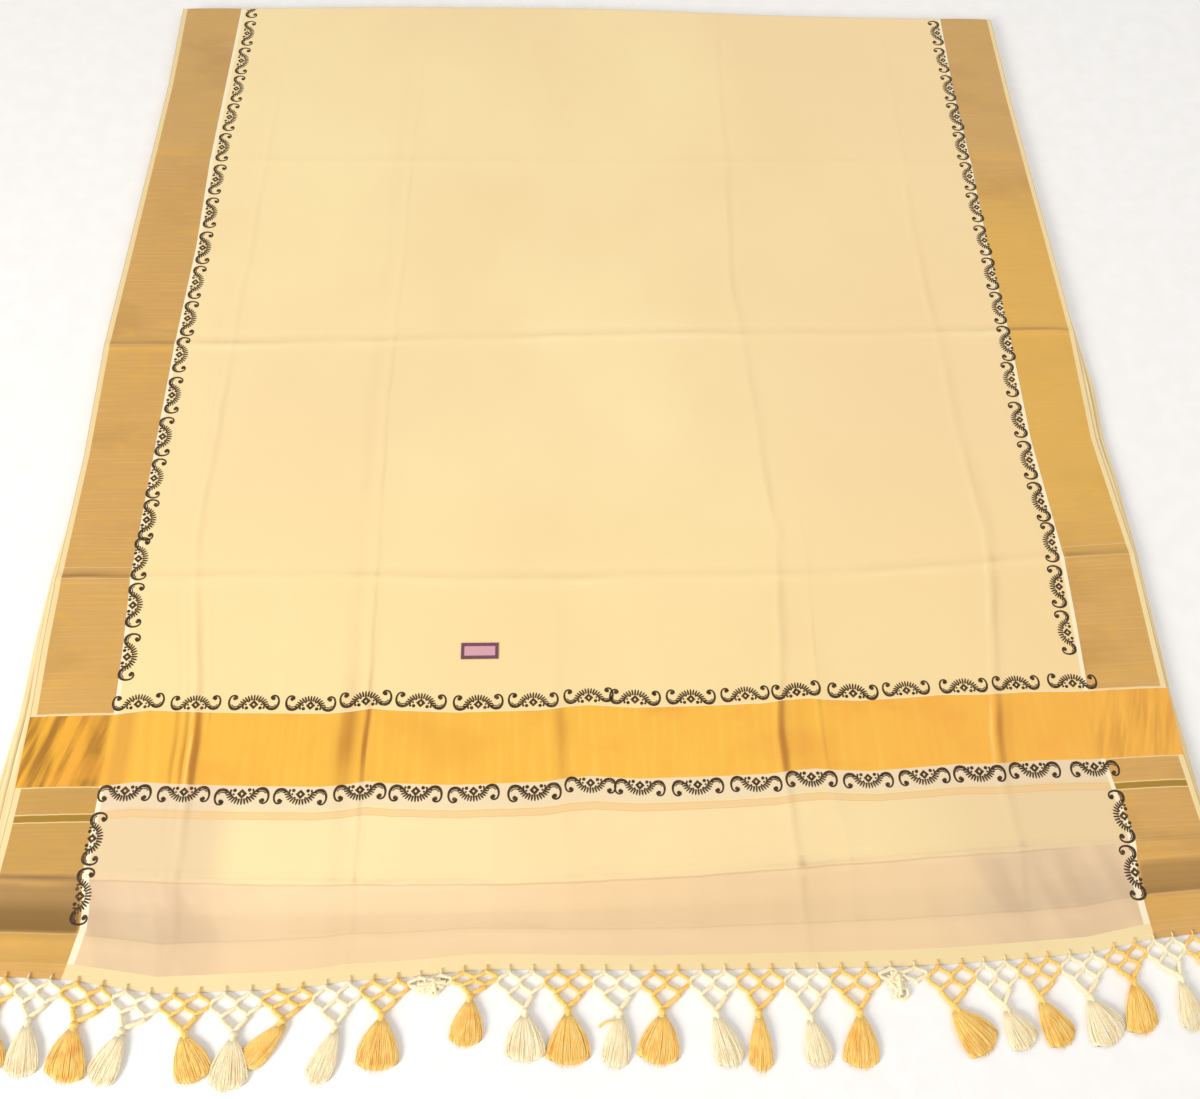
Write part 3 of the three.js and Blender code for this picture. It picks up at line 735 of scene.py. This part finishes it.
def yarn_material(name, main, light, dark):
    shader = Shader(name, roughness=0.6, sheen=0.35, specular=0.35, colour=main)
    strands = shader.solid_noise((700, 90, 700))
    shader.paint(light, shader.range(strands, 0.35, 0.7))
    shader.paint(dark, shader.range(shader.solid_noise((90, 60, 60)), 0.5, 0.8, 0.0, 0.7))
    return shader.finish(strands, 0.3, 0.0003)


# The top layer, in its woven stretches
def stations(start, stop, step, creases, fine_step=2.5, reach=16):
    """Grid lines from start to stop, closer together beside creases."""
    lines = [start]
    while lines[-1] < stop:
        here = lines[-1]
        close = any(abs(here + fine_step - crease) < reach for crease in creases)
        lines.append(here + (fine_step if close else step))
    lines[-1] = stop
    if len(lines) > 2 and lines[-1] - lines[-2] < 0.3 * fine_step:
        lines.pop(-2)
    return lines


crease_columns = [place for crease in LONG_CREASES for place in (crease["lies"][2], crease["lies"][4])]
crease_rows = [crease["along"] for crease in CROSS_CREASES]
FIELD_COLUMNS = stations(-CLOTH_INNER, CLOTH_INNER, 7, crease_columns)
LEFT_COLUMNS = stations(-CLOTH_EDGE, -CLOTH_INNER, 5, [])
RIGHT_COLUMNS = stations(CLOTH_INNER, CLOTH_EDGE, 5, [])
ALL_COLUMNS = LEFT_COLUMNS + FIELD_COLUMNS[1:-1] + RIGHT_COLUMNS
HEM_ROWS = stations(0, HEM_DEPTH, 2.4, [])
PANEL_ROWS = stations(HEM_DEPTH, PANEL_END, 4, crease_rows)
STRIPE_ROWS = stations(PANEL_END, BAND_START, 5, [])
BAND_ROWS = stations(BAND_START, BAND_END, 5, [])
BODY_ROWS = stations(BAND_END, FAR_FOLD_START, 7, crease_rows) + [
    FAR_FOLD_START + share * (FAR_FOLD_END - FAR_FOLD_START) for share in (0.25, 0.5, 0.75, 1)
]


def grid_faces(rows, columns, start=0, flip=False):
    """Faces of a grid of points, seen from above or, when flipped, from below."""
    faces = []
    for row in range(rows - 1):
        for column in range(columns - 1):
            a = start + row * columns + column
            face = [a, a + 1, a + columns + 1, a + columns]
            faces.append(face[::-1] if flip else face)
    return faces


def ring_faces(rings, sides, turned=False):
    """Faces of a closed tube between rings of points. Turned is for rings that run the other way round."""
    faces = []
    for ring in range(rings - 1):
        for k in range(sides):
            a = ring * sides + k
            b = ring * sides + (k + 1) % sides
            faces.append([a, b, b + sides, a + sides] if turned else [a, a + sides, b + sides, b])
    first = list(range(sides))
    last = [(rings - 1) * sides + k for k in range(sides)]
    return faces + ([first[::-1], last] if turned else [first, last[::-1]])


def rim_faces(rows, columns):
    """Faces that close the edge between the upper and the lower grid."""
    rim = list(range(columns - 1))
    rim += [row * columns + columns - 1 for row in range(rows - 1)]
    rim += [(rows - 1) * columns + column for column in range(columns - 1, 0, -1)]
    rim += [row * columns for row in range(rows - 1, 0, -1)]
    shift = rows * columns
    return [[a, a + shift, b + shift, b] for a, b in zip(rim, rim[1:] + rim[:1])]


def cloth_piece(name, columns, rows, material, lift=0.0):
    """A thin shell over a grid of cloth coordinates, with those coordinates as its map."""
    across = np.tile(columns, len(rows))
    along = np.repeat(rows, len(columns))
    normals = cloth_normals(across, along)
    upper = cloth_points(across, along) + normals * lift
    lower = upper - normals * CLOTH_THICKNESS
    lower[:, 2] = np.maximum(lower[:, 2], OVER_FLOOR)
    shift = len(upper)
    parts = MeshParts()
    faces = grid_faces(len(rows), len(columns))
    faces += grid_faces(len(rows), len(columns), shift, flip=True)
    faces += rim_faces(len(rows), len(columns))
    parts.add(np.concatenate([upper, lower]), faces)
    piece = parts.build(name, material)
    mesh = piece.data
    both = np.concatenate([np.stack([across, along], axis=1)] * 2) * MM
    corner_points = np.empty(len(mesh.loops), int)
    mesh.loops.foreach_get("vertex_index", corner_points)
    mesh.uv_layers.new(name="cloth").data.foreach_set("uv", both[corner_points].ravel())
    # Painted shade and highlight beside the creases and on the borders, kept in each point
    tone = painted_shading(across, along)
    add_painted_shading(piece, np.concatenate([tone, tone]))
    mesh.normals_split_custom_set_from_vertices(np.concatenate([normals, -normals]).tolist())
    return piece


def make_top_layer():
    """One thin shell for each woven stretch, and the hem."""
    field = field_material()
    border = border_material()
    pallu_rows = PANEL_ROWS + STRIPE_ROWS[1:]
    stretches = [
        ("body_field", FIELD_COLUMNS, BODY_ROWS, field, "field_cotton"),
        ("body_border_left", LEFT_COLUMNS, BODY_ROWS, border, "border_zari"),
        ("body_border_right", RIGHT_COLUMNS, BODY_ROWS, border, "border_zari"),
        ("pallu_band", ALL_COLUMNS, BAND_ROWS, band_material(), "band_zari"),
        ("pallu_field", FIELD_COLUMNS, STRIPE_ROWS, pallu_field_material(), "field_cotton"),
        ("pallu_end_panel", FIELD_COLUMNS, PANEL_ROWS, end_panel_material(), "panel_cotton"),
        ("pallu_border_left", LEFT_COLUMNS, pallu_rows, border, "border_zari"),
        ("pallu_border_right", RIGHT_COLUMNS, pallu_rows, border, "border_zari"),
        ("hem", ALL_COLUMNS, HEM_ROWS, hem_material(), "hem_cotton"),
    ]
    for name, columns, rows, material, slot in stretches:
        piece = cloth_piece(f"cloth_{name}", columns, rows, material)
        place_piece(piece, name)


LABEL_COLUMNS = [-156, -143, -130, -117]
LABEL_ROWS = [312, 317.7, 323.3, 329]


def make_label():
    """The small sewn label, which is blank."""
    piece = cloth_piece("sewn_label", LABEL_COLUMNS, LABEL_ROWS, label_material(), lift=0.8)
    place_piece(piece, "label")


# The hidden layers
END_POINTS, SIDE_POINTS = 60, 120


def layer_ring(edge, height, offset):
    """One ring round the stack at a height, moved out or in by offset."""
    near = edge["near"] - offset
    far = edge["far"] + offset

    def side_x(peek_column, line_column):
        peek = table_column(SIDE_PEEKS, peek_column, along) * edge["share"] + offset - 0.5
        outer = table_column(SIDE_LINES, line_column, along)
        uneven = 0.8 * ripple(along, height)
        return outer + np.sign(outer) * (peek + uneven)

    ends = np.linspace(0.004, 0.996, END_POINTS)
    rows = near + (far - near) * np.linspace(0.002, 0.998, SIDE_POINTS)
    right_share = np.concatenate([ends, np.ones(SIDE_POINTS), ends[::-1], np.zeros(SIDE_POINTS)])
    along = np.concatenate([np.full(END_POINTS, near), rows, np.full(END_POINTS, far), rows[::-1]])
    # The left and right columns of the two tables
    x = side_x(1, 1) * (1 - right_share) + side_x(2, 4) * right_share
    return np.stack([x, line_y(x, along), np.full(len(x), height)], axis=1) + SHIFT


# Up the edge of one layer: height as a share of the layer, distance out, and its painted shade
LIP_PROFILE = [
    (0.1, -0.3, -0.7), (0.25, 0.0, 0), (0.42, -0.3, 0), (0.5, -1.3, -0.9), (0.58, -0.5, 0), (0.75, -0.2, 0),
    (0.9, -0.5, 0),
]


def make_hidden_layers():
    """Four folded layers, each with a rounded edge of two thin lips."""
    rings = []
    # Painted shade of each ring, darkest in the grooves and at the foot of the stack
    shades = []
    for index in range(len(LAYERS) - 1, -1, -1):
        edge = LAYERS[index]
        bottom = (len(LAYERS) - 1 - index) * LAYER_HEIGHT + LAYER_GAP
        if index == len(LAYERS) - 1:
            rings.append(layer_ring(edge, bottom, -1.0))
            shades.append(-0.6)
        for level, offset, shade in LIP_PROFILE:
            rings.append(layer_ring(edge, bottom + level * LAYER_HEIGHT, offset))
            shades.append(shade)
        if index == 0:
            rings.append(layer_ring(edge, bottom + 0.98 * LAYER_HEIGHT, -1.0))
            shades.append(0)
        else:
            above = LAYERS[index - 1]
            groove = {
                "share": min(edge["share"], above["share"]),
                "near": max(edge["near"], above["near"]),
                "far": min(edge["far"], above["far"]),
            }
            rings.append(layer_ring(groove, bottom + LAYER_HEIGHT - LAYER_GAP, -GROOVE_DEPTH))
            shades.append(-1)
    count = len(rings[0])
    parts = MeshParts()
    parts.add(np.concatenate(rings), ring_faces(len(rings), count, turned=True))
    piece = parts.build("folded_layers", layers_material(), smooth=False)
    add_painted_shading(piece, np.repeat(np.array(shades, float), count))
    place_piece(piece, "under_layers")


# Block printed motifs
def ribbon(points, widths):
    """A flat stroke along points, with its own width at each point."""
    points = np.asarray(points, float)
    ahead = np.gradient(points, axis=0)
    ahead /= np.linalg.norm(ahead, axis=1, keepdims=True)
    normal = np.stack([-ahead[:, 1], ahead[:, 0]], axis=1)
    half = np.asarray(widths, float)[:, None] / 2
    outline = np.concatenate([points + normal * half, points - normal * half])
    count = len(points)
    faces = [[i + count, i + count + 1, i + 1, i] for i in range(count - 1)]
    return outline, faces


def dot(x, y, radius, sides=8):
    """A round spot."""
    angles = np.arange(sides) * 2 * pi / sides
    outline = np.stack([x + radius * np.cos(angles), y + radius * np.sin(angles)], axis=1)
    return outline, [list(range(sides))]


def smooth_path(points, count):
    """A Catmull-Rom curve through points."""
    points = np.asarray(points, float)
    padded = np.concatenate([[2 * points[0] - points[1]], points, [2 * points[-1] - points[-2]]])
    places = np.linspace(0, len(points) - 1.0001, count)
    index = places.astype(int)
    t = (places - index)[:, None]
    p0, p1, p2, p3 = (padded[index + k] for k in range(4))
    return 0.5 * (2 * p1 + (p2 - p0) * t + (2 * p0 - 5 * p1 + 4 * p2 - p3) * t ** 2
                  + (3 * p1 - p0 - 3 * p2 + p3) * t ** 3)


LEAVES = 15
LEAF_WIDTHS = [1.9, 1.9, 1.8, 1.8, 1.7, 1.4, 0.6]
FAN_START, FAN_SPREAD = 4, 172
ARM = [(12.6, 3.4), (15.2, 1.3), (19.2, 0.5), (22.8, 1.7), (25.2, 5.4), (25.6, 9.8), (24.0, 13.8),
       (20.9, 15.2), (18.2, 13.9), (18.3, 11.4)]
ARM_POINTS, VEIN_POINTS = 37, 8
ARM_WIDTHS = [1.6, 2.7, 3.2, 3.1, 2.5, 2.0, 1.8, 1.8, 2.2, 2.6]
ARM_VEIN = [(14.8, 4.6), (17.6, 3.3), (20.6, 3.3), (22.8, 5.4)]
MOTIF_DOTS = [(7.0, 1.6, 1.9), (10.6, 1.6, 1.2), (5.2, 8.6, 1.0), (8.0, 5.4, 1.1), (19.9, 12.1, 2.2)]
DIAMOND_OUTER, DIAMOND_INNER = [(0, 0.4), (5.0, 5.2), (0, 10.2)], [(0, 3.6), (1.4, 5.2), (0, 6.9)]


def motif_shapes():
    """A fan of leaves with a diamond below it and an arm on each side that curls into a spiral."""
    shapes = []
    steps = np.linspace(0, 1, len(LEAF_WIDTHS))[:, None]
    for i in range(LEAVES):
        angle = radians(FAN_START + FAN_SPREAD * i / (LEAVES - 1))
        inner = np.array([10.2 * cos(angle), 3.0 + 7.0 * sin(angle)])
        outer = np.array([16.4 * cos(angle), 2.0 + 14.2 * sin(angle)])
        shapes.append(ribbon(inner + (outer - inner) * steps, LEAF_WIDTHS))
    for side in (-1, 1):
        mirror = np.array([side, 1])
        arm = smooth_path(ARM, ARM_POINTS) * mirror
        places = np.linspace(0, len(ARM_WIDTHS) - 1, ARM_POINTS)
        widths = np.interp(places, range(len(ARM_WIDTHS)), ARM_WIDTHS)
        shapes.append(ribbon(arm[::side], widths[::side]))
        vein = smooth_path(ARM_VEIN, VEIN_POINTS) * mirror
        shapes.append(ribbon(vein[::side], np.full(VEIN_POINTS, 1.0)))
        for x, y, radius in MOTIF_DOTS:
            shapes.append(dot(x * side, y, radius))
        corners = np.array(DIAMOND_OUTER + DIAMOND_INNER) * mirror
        faces = [[0, 1, 4, 3], [1, 2, 5, 4]]
        shapes.append((corners, [face[::side] for face in faces]))
    return shapes


# Middles of the motifs in the row above the band and in the row below it, and along each border
UPPER_ROW = [-478, -421, -363, -306, -250, -195, -136, -80, -23, 24, 82, 139, 193, 251, 308, 369, 425, 485]
LOWER_ROW = [-477, -420, -364, -307, -250, -195, -139, -79, -23, 26, 83, 142, 198, 255, 312, 369, 426, 488]
LEFT_COLUMN = [74, 128, 314, 372, 427, 475, 528, 583, 640, 698, 752, 808, 863, 921, 979, 1036, 1092,
               1146, 1201, 1257, 1315]
RIGHT_COLUMN = [78, 133, 331, 385, 440, 493, 548, 604, 662, 716, 771, 826, 882, 939, 994, 1050, 1106, 1162,
                1219, 1276]
# Where the feet of the motifs stand beside each border
LEFT_FEET_STOPS = [70, 130, 314, 427, 560, 750, 870, 1030, 1150, 1300]
LEFT_FEET = [-508, -506, -503, -509, -507, -503, -499, -497, -491, -490]
RIGHT_FEET_STOPS = [78, 133, 331, 440, 548, 660, 716, 946, 1300]
RIGHT_FEET = [510, 512, 498, 503, 499, 500, 506, 508, 510]
HALF_FOOT = 18
PRINT_LIFT = 0.15


def make_prints():
    """All the printed motifs, as one piece."""
    rng = np.random.default_rng(11)
    shapes = motif_shapes()
    outline = np.concatenate([points for points, _ in shapes])
    middles = np.concatenate([np.tile(points.mean(axis=0), (len(points), 1)) for points, _ in shapes])
    faces = []
    count = 0
    for points, corners in shapes:
        faces += [[corner + count for corner in face] for face in corners]
        count += len(points)
    parts = MeshParts()

    def stamp(x, y, angle):
        """Prints one motif with its foot at a seen place, turned by angle and a little uneven."""
        tilt = angle + radians(rng.uniform(-3, 3))
        turned = np.array([[cos(tilt), -sin(tilt)], [sin(tilt), cos(tilt)]])
        size = rng.uniform(0.95, 1.01)
        weight = rng.uniform(-0.04, 0.04)
        places = (outline + (outline - middles) * weight) * size @ turned.T + [x, y]
        across, along = cloth_seen_at(places[:, 0], places[:, 1])
        kept = [face for face in faces if max(along[corner] for corner in face) < FAR_FOLD_END - 0.5]
        parts.add(cloth_points(across, along) + [0, 0, PRINT_LIFT], kept)

    for row, start, gap, turn in ((UPPER_ROW, BAND_END, 2.4, 0), (LOWER_ROW, BAND_START, -2.6, pi)):
        for x in row:
            along = start + gap + rng.uniform(-0.7, 0.7)
            foot = flat_points([x - HALF_FOOT, x, x + HALF_FOOT], [along] * 3)
            stamp(x, foot[1, 1], turn + atan2(foot[2, 1] - foot[0, 1], 2 * HALF_FOOT))
    for rows, stops, feet, turn in ((LEFT_COLUMN, LEFT_FEET_STOPS, LEFT_FEET, -pi / 2),
                                    (RIGHT_COLUMN, RIGHT_FEET_STOPS, RIGHT_FEET, pi / 2)):
        for y in rows:
            low, x, high = np.interp([y - HALF_FOOT, y, y + HALF_FOOT], stops, feet)
            stamp(x + rng.uniform(-0.8, 0.8), y, turn - atan2(high - low, 2 * HALF_FOOT))
    place_piece(parts.build("block_prints", ink_material()))


# Fringe
UNIT_PITCH = 43.6
CORD_RADIUS = 1.85
TUBE_SIDES = 8
TWIST = {"twist": 1.1, "lobes": 0.14}
# Knots of the net: share of the way to the tassel's head, height, and how far they stray
ROW_ONE, ROW_TWO = 0.31, 0.62
NET_LEVEL = 2.15
STRAY = 0.6
# Tassels: rows and sides of the core, strands over it, and the radius of a strand at shares of its length
CORE_ROWS, CORE_SIDES, CORE_END = 16, 40, 0.94
STRANDS = 100
STRAND_STOPS = np.array([0, 0.2, 0.45, 0.7, 0.88, 1.0])
STRAND_RADII = np.array([0.34, 0.42, 0.42, 0.38, 0.32, 0.12])
TASSEL_FLOOR = 0.6
BUNCH_CORDS = 12
# Units with a tucked tassel: middle and half sizes of the bunched cords
BUNCHES = {9: (0, -10, 17, 5.5), 19: (-8, -15, 7, 11)}
# As each tassel lies: head off the middle of its unit, head from the hem, swing of the tip from the
# head, length, and width of the spread tip
TASSELS = [
    (5, 38, 11, 41, 22), (-3, 36, 2, 47, 28), (-7, 36, -1, 48, 28), (-8, 35, -16, 46, 23),
    (2, 34, 16, 41, 27), (1, 37, -1, 46, 28), (-1, 28, -31, 36, 20), (2, 38, -16, 45, 22),
    (-1, 31, -2, 47, 34), (1, 21, 0, 14, 12), (-4, 23, -4, 42, 27), (4, 36, 1, 43, 32),
    (-1, 35, 0, 47, 34), (2, 37, -6, 47, 21), (-4, 36, -7, 45, 32), (0, 38, 14, 46, 23),
    (-4, 38, -1, 50, 19), (-1, 42, 7, 43, 22), (1, 39, -4, 48, 27), (0, 23, 0, 14, 12),
    (-3, 38, 29, 39, 31), (2, 41, 19, 36, 26), (-5, 36, 19, 42, 26), (-1, 38, 15, 43, 31),
    (0, 32, 2, 47, 28), (8, 37, 4, 47, 22), (0, 36, 4, 45, 26),
]
# A loose yarn that sticks out beside one unit
STRAY_UNIT = 12
STRAY_YARN = [(45, -44, 4.5), (38, -44.5, 4.5), (31, -46.5, 2.6), (26.5, -49.5, 1.4)]


def tube(parts, path, radius, sides=TUBE_SIDES, twist=0.0, lobes=0.0):
    """A closed tube along a path, with lobes that turn along it as in twisted yarn."""
    path = np.asarray(path, float)
    radius = np.broadcast_to(radius, len(path))
    ahead = np.gradient(path, axis=0)
    ahead /= np.linalg.norm(ahead, axis=1, keepdims=True) + 1e-9
    side = np.cross(ahead, [0, 0, 1.0])
    side /= np.linalg.norm(side, axis=1, keepdims=True) + 1e-9
    up = np.cross(side, ahead)
    distance = np.concatenate([[0], np.cumsum(np.linalg.norm(np.diff(path, axis=0), axis=1))])
    points = []
    for k in range(sides):
        angle = 2 * pi * k / sides
        swell = radius * (1 + lobes * np.cos(2 * (angle - twist * distance)))
        points.append(path + side * (swell * cos(angle))[:, None] + up * (swell * sin(angle))[:, None])
    points = np.stack(points, axis=1).reshape(-1, 3)
    parts.add(points, ring_faces(len(path), sides))


def bead(parts, centre, radii, sides=10, rings=6):
    """A rounded knot."""
    points = [[0, 0, -1]]
    for ring in range(1, rings):
        polar = pi * ring / rings
        for k in range(sides):
            angle = 2 * pi * k / sides
            points.append([sin(polar) * cos(angle), sin(polar) * sin(angle), -cos(polar)])
    points.append([0, 0, 1])
    faces = [[0, 1 + (k + 1) % sides, 1 + k] for k in range(sides)]
    walls = ring_faces(rings - 1, sides, turned=True)[:-2]
    faces += [[corner + 1 for corner in face] for face in walls]
    top = len(points) - 1
    faces += [[top, top - sides + k, top - sides + (k + 1) % sides] for k in range(sides)]
    parts.add(np.array(points) * radii + centre, faces)


def cord(parts, start, stop, height, radius=CORD_RADIUS, droop=0.5):
    """A twisted cord between two knots, which leaves the one and reaches the other straight down."""
    start = np.array(start, float)
    stop = np.array(stop, float)
    pull = np.array([0, abs(stop[1] - start[1]) * droop])
    t = np.linspace(0, 1, 14)[:, None]
    bends = (start, start - pull, stop + pull, stop)
    weights = ((1 - t) ** 3, 3 * t * (1 - t) ** 2, 3 * t ** 2 * (1 - t), t ** 3)
    flat = sum(weight * bend for weight, bend in zip(weights, bends))
    path = np.column_stack([flat, height + 0.6 * np.sin(pi * t[:, 0])])
    tube(parts, path, radius, **TWIST)


def make_net(parts, shift, reach, rng, legs=True):
    """Cords and knots of one unit, in the unit's own place below the hem."""
    knot = UNIT_PITCH / 4
    half = UNIT_PITCH / 2 - 0.3
    first = -ROW_ONE * reach
    second = -ROW_TWO * reach
    level = NET_LEVEL

    def jitter():
        return rng.uniform(-STRAY, STRAY)

    tops = [(-knot, -0.6), (knot, -0.6)]
    row_one = [(-half, first + jitter()), (jitter(), first + jitter()), (half, first + jitter())]
    row_two = [(-knot + jitter(), second + jitter()), (knot + jitter(), second + jitter())]
    head = (shift, -reach + 1)
    for i, top in enumerate(tops):
        cord(parts, top, row_one[i], level)
        cord(parts, top, row_one[i + 1], level)
        cord(parts, row_one[i], row_two[i], level)
        cord(parts, row_one[i + 1], row_two[i], level)
        if legs:
            cord(parts, row_two[i], head, level + 0.5, CORD_RADIUS * 1.2, droop=0.2)
        bead(parts, [top[0], top[1] - 1.6, level + 0.3], [2.0, 2.3, 1.7])
        bead(parts, [row_two[i][0], row_two[i][1], level + 0.2], [2.3, 2.4, 1.7])
        stitch = smooth_path([(0, -2.1, 2.2), (0, 0.2, 2.9), (0.2, 2.6, 2.6), (0.3, 4.0, 1.3)], 9)
        tube(parts, stitch + [top[0], 0, 0], 0.75, sides=6, twist=1.6, lobes=0.12)
    bead(parts, [row_one[1][0], row_one[1][1], level + 0.2], [2.2, 2.4, 1.6])


def make_crumpled_net(parts, reach, bunch, rng):
    """A unit whose lower net and tassel are bunched up near the hem."""
    x, y, wide, deep = bunch
    make_net(parts, 0, reach, rng, legs=False)
    for i in range(BUNCH_CORDS):
        angle = 2.4 * i
        start = np.array([x + wide * cos(angle), y + deep * sin(angle)])
        turn = angle + rng.uniform(1.5, 3.2)
        stop = np.array([x + 0.8 * wide * cos(turn), y + 0.8 * deep * sin(turn)])
        cord(parts, start, stop, 2.2 + 0.22 * i, droop=rng.uniform(-0.3, 1.0))
    loop = smooth_path([(0, 0), (5, -3), (10, 1), (9, 6), (3, 7)], 20) + [x, y - deep]
    tube(parts, np.column_stack([loop, np.full(20, 2.4)]), CORD_RADIUS, **TWIST)


def make_collar(parts, shift, reach, direction):
    """The wrapped head of a tassel."""
    start = np.array([shift, -reach + 2.0, 3.9])
    ahead = np.array([direction[0], direction[1], 0.0])
    places = np.linspace(0, 7.5, 20)[:, None]
    path = start + ahead * places
    wraps = 2.7 + 0.2 * np.sin(places[:, 0] * 4.2) + 0.9 * np.exp(-((places[:, 0] - 2.2) / 1.5) ** 2)
    wraps[0] = 1.6
    tube(parts, path, wraps, sides=12)


def make_tassel(parts, shift, reach, swing, length, spread, rng):
    """A combed tassel: a ridged core and many fine strands over it."""
    direction = np.array([swing, -length]) / np.hypot(swing, length)
    make_collar(parts, shift, reach, direction)
    head = np.array([shift, -reach - 3.5])
    tip = np.array([shift + swing, -reach - length])
    side = np.array([-direction[1], direction[0]])
    stops = [0, 0.12, 0.35, 0.65, 0.9, 1]
    widths = [2.9, 0.13 * spread + 2, 0.38 * spread, 0.54 * spread, 0.58 * spread, 0.47 * spread]
    depths = [2.5, 2.9, 3.4, 3.0, 2.2, 1.2]
    rows = np.linspace(0, CORE_END, CORE_ROWS)
    points = []
    for row in rows:
        centre = head + (tip - head) * row
        half = 0.93 * np.interp(row, stops, widths)
        deep = 0.8 * np.interp(row, stops, depths)
        for k in range(CORE_SIDES):
            angle = 2 * pi * k / CORE_SIDES
            ridge = 1 + 0.09 * cos(5 * angle + 2) + 0.05 * (k % 2)
            flat = centre + side * (half * ridge * cos(angle))
            flat = flat + direction * (6 * row ** 3 * (1 - abs(cos(angle)) ** 2) - 4 * row ** 3)
            points.append([flat[0], flat[1], TASSEL_FLOOR + deep + deep * ridge * sin(angle)])
    parts.add(points, ring_faces(CORE_ROWS, CORE_SIDES))
    for _ in range(STRANDS):
        place = rng.uniform(-1, 1)
        over = rng.uniform(0.75, 1.05)
        reach_share = (1 - 0.15 * place ** 2) * rng.uniform(0.9, 1.06)
        half = np.interp(STRAND_STOPS, stops, widths) * place
        deep = np.interp(STRAND_STOPS, stops, depths)
        rise = np.sqrt(np.maximum(0.05, 1 - place ** 2))
        level = TASSEL_FLOOR + deep + deep * over * rise + rng.uniform(-0.1, 0.1)
        wave = rng.uniform(-0.7, 0.7) * np.sin(STRAND_STOPS * pi * rng.uniform(0.8, 1.8))
        along = (STRAND_STOPS * reach_share)[:, None]
        flat = head + (tip - head) * along + side * (half + wave)[:, None]
        path = np.column_stack([flat, np.maximum(level, TASSEL_FLOOR)])
        tube(parts, path, STRAND_RADII, sides=4)


def make_fringe():
    """One piece for each unit of the fringe, gold and cream in turn."""
    gold = yarn_material("gold_yarn", "FFCD60", "FFDF8C", "F4B042")
    cream = yarn_material("cream_yarn", "FFECBE", "FFF6D8", "FCE0AE")
    rng = np.random.default_rng(7)
    for index, (shift, reach, swing, length, spread) in enumerate(TASSELS):
        parts = MeshParts()
        if index in BUNCHES:
            make_crumpled_net(parts, reach, BUNCHES[index], rng)
        else:
            make_net(parts, shift, reach, rng)
            make_tassel(parts, shift, reach, swing, length, spread, rng)
        if index == STRAY_UNIT:
            tube(parts, smooth_path(STRAY_YARN, 12), 1.2, sides=6, twist=1.4, lobes=0.15)
        middle = (index - (len(TASSELS) - 1) / 2) * UNIT_PITCH
        points = np.concatenate(parts.points)
        points[:, 0] += middle
        points[:, 0] += np.interp(points[:, 0], FRINGE_STOPS, FRINGE_SHIFT)
        points[:, 1] += line_y(points[:, 0], np.zeros(len(points))) + hem_wander(points[:, 0])
        parts.points = [points + SHIFT]
        gold_unit = index % 2 == 0
        piece = parts.build(f"tassel_{index:02d}", gold if gold_unit else cream)
        place_piece(piece, f"fringe_{index:02d}")


# Camera, floor and light
SENSOR_WIDTH, LENS = 36, 34.2
YAW, PITCH, ROLL = radians(5.28), radians(62.61), radians(4.32)
FLOOR_REACH = 6000
AMBIENT_COLOUR, AMBIENT_STRENGTH = (1.0, 0.99, 0.98, 1), 0.56
# Area lights: name, place, size, power and colour
LIGHTS = [
    ("key", (-2.6, -2.4, 1.9), 1.4, 104, (1.0, 0.97, 0.93)),
    ("top", (1.1, 0.4, 2.3), 2.2, 14, (1.0, 0.98, 0.95)),
]


def make_camera():
    """The camera over the near side, looking down and a little to the right."""
    data = bpy.data.cameras.new("camera")
    data.sensor_width = SENSOR_WIDTH
    data.lens = LENS
    camera = bpy.data.objects.new("camera", data)
    ahead = Vector((sin(YAW) * cos(PITCH), cos(YAW) * cos(PITCH), -sin(PITCH)))
    level = Vector((cos(YAW), -sin(YAW), 0))
    upright = level.cross(ahead)
    right = cos(ROLL) * level + sin(ROLL) * upright
    up = -sin(ROLL) * level + cos(ROLL) * upright
    place = Vector((EYE[0] + SHIFT[0], EYE[1] + SHIFT[1], EYE[2] + TOP_LEVEL)) * MM
    turn = Matrix((right, up, -ahead)).transposed()
    camera.matrix_world = Matrix.Translation(place) @ turn.to_4x4()
    bpy.context.scene.collection.objects.link(camera)
    bpy.context.scene.camera = camera


def make_floor():
    """The pale surface below the part."""
    shader = Shader("floor", roughness=0.9, specular=0.1, colour="FEFDFC")
    grain = shader.range(shader.solid_noise((40, 40, 40)), 0.3, 0.7)
    shader.paint("FBFAF8", grain)
    shader.feed(shader.surface.inputs["Base Color"], shader.colour)
    parts = MeshParts()
    corners = np.array([(-1, -1, 0), (1, -1, 0), (1, 1, 0), (-1, 1, 0)]) * FLOOR_REACH
    parts.add(corners, [[0, 1, 2, 3]])
    floor = parts.build("floor", shader.material)


def make_lights():
    """Even ambient light and two soft area lights."""
    world = bpy.data.worlds.new("studio")
    bpy.context.scene.world = world
    world.use_nodes = True
    background = world.node_tree.nodes["Background"]
    background.inputs["Color"].default_value = AMBIENT_COLOUR
    background.inputs["Strength"].default_value = AMBIENT_STRENGTH
    for name, place, size, power, colour in LIGHTS:
        data = bpy.data.lights.new(name, "AREA")
        data.size = size
        data.energy = power
        data.color = colour
        light = bpy.data.objects.new(name, data)
        light.location = place
        light.rotation_euler = (-Vector(place)).to_track_quat("-Z", "Y").to_euler()
        bpy.context.scene.collection.objects.link(light)


bpy.context.scene.view_settings.view_transform = "Standard"
make_camera()
make_floor()
make_lights()
make_hidden_layers()
make_top_layer()
make_label()
make_prints()
make_fringe()
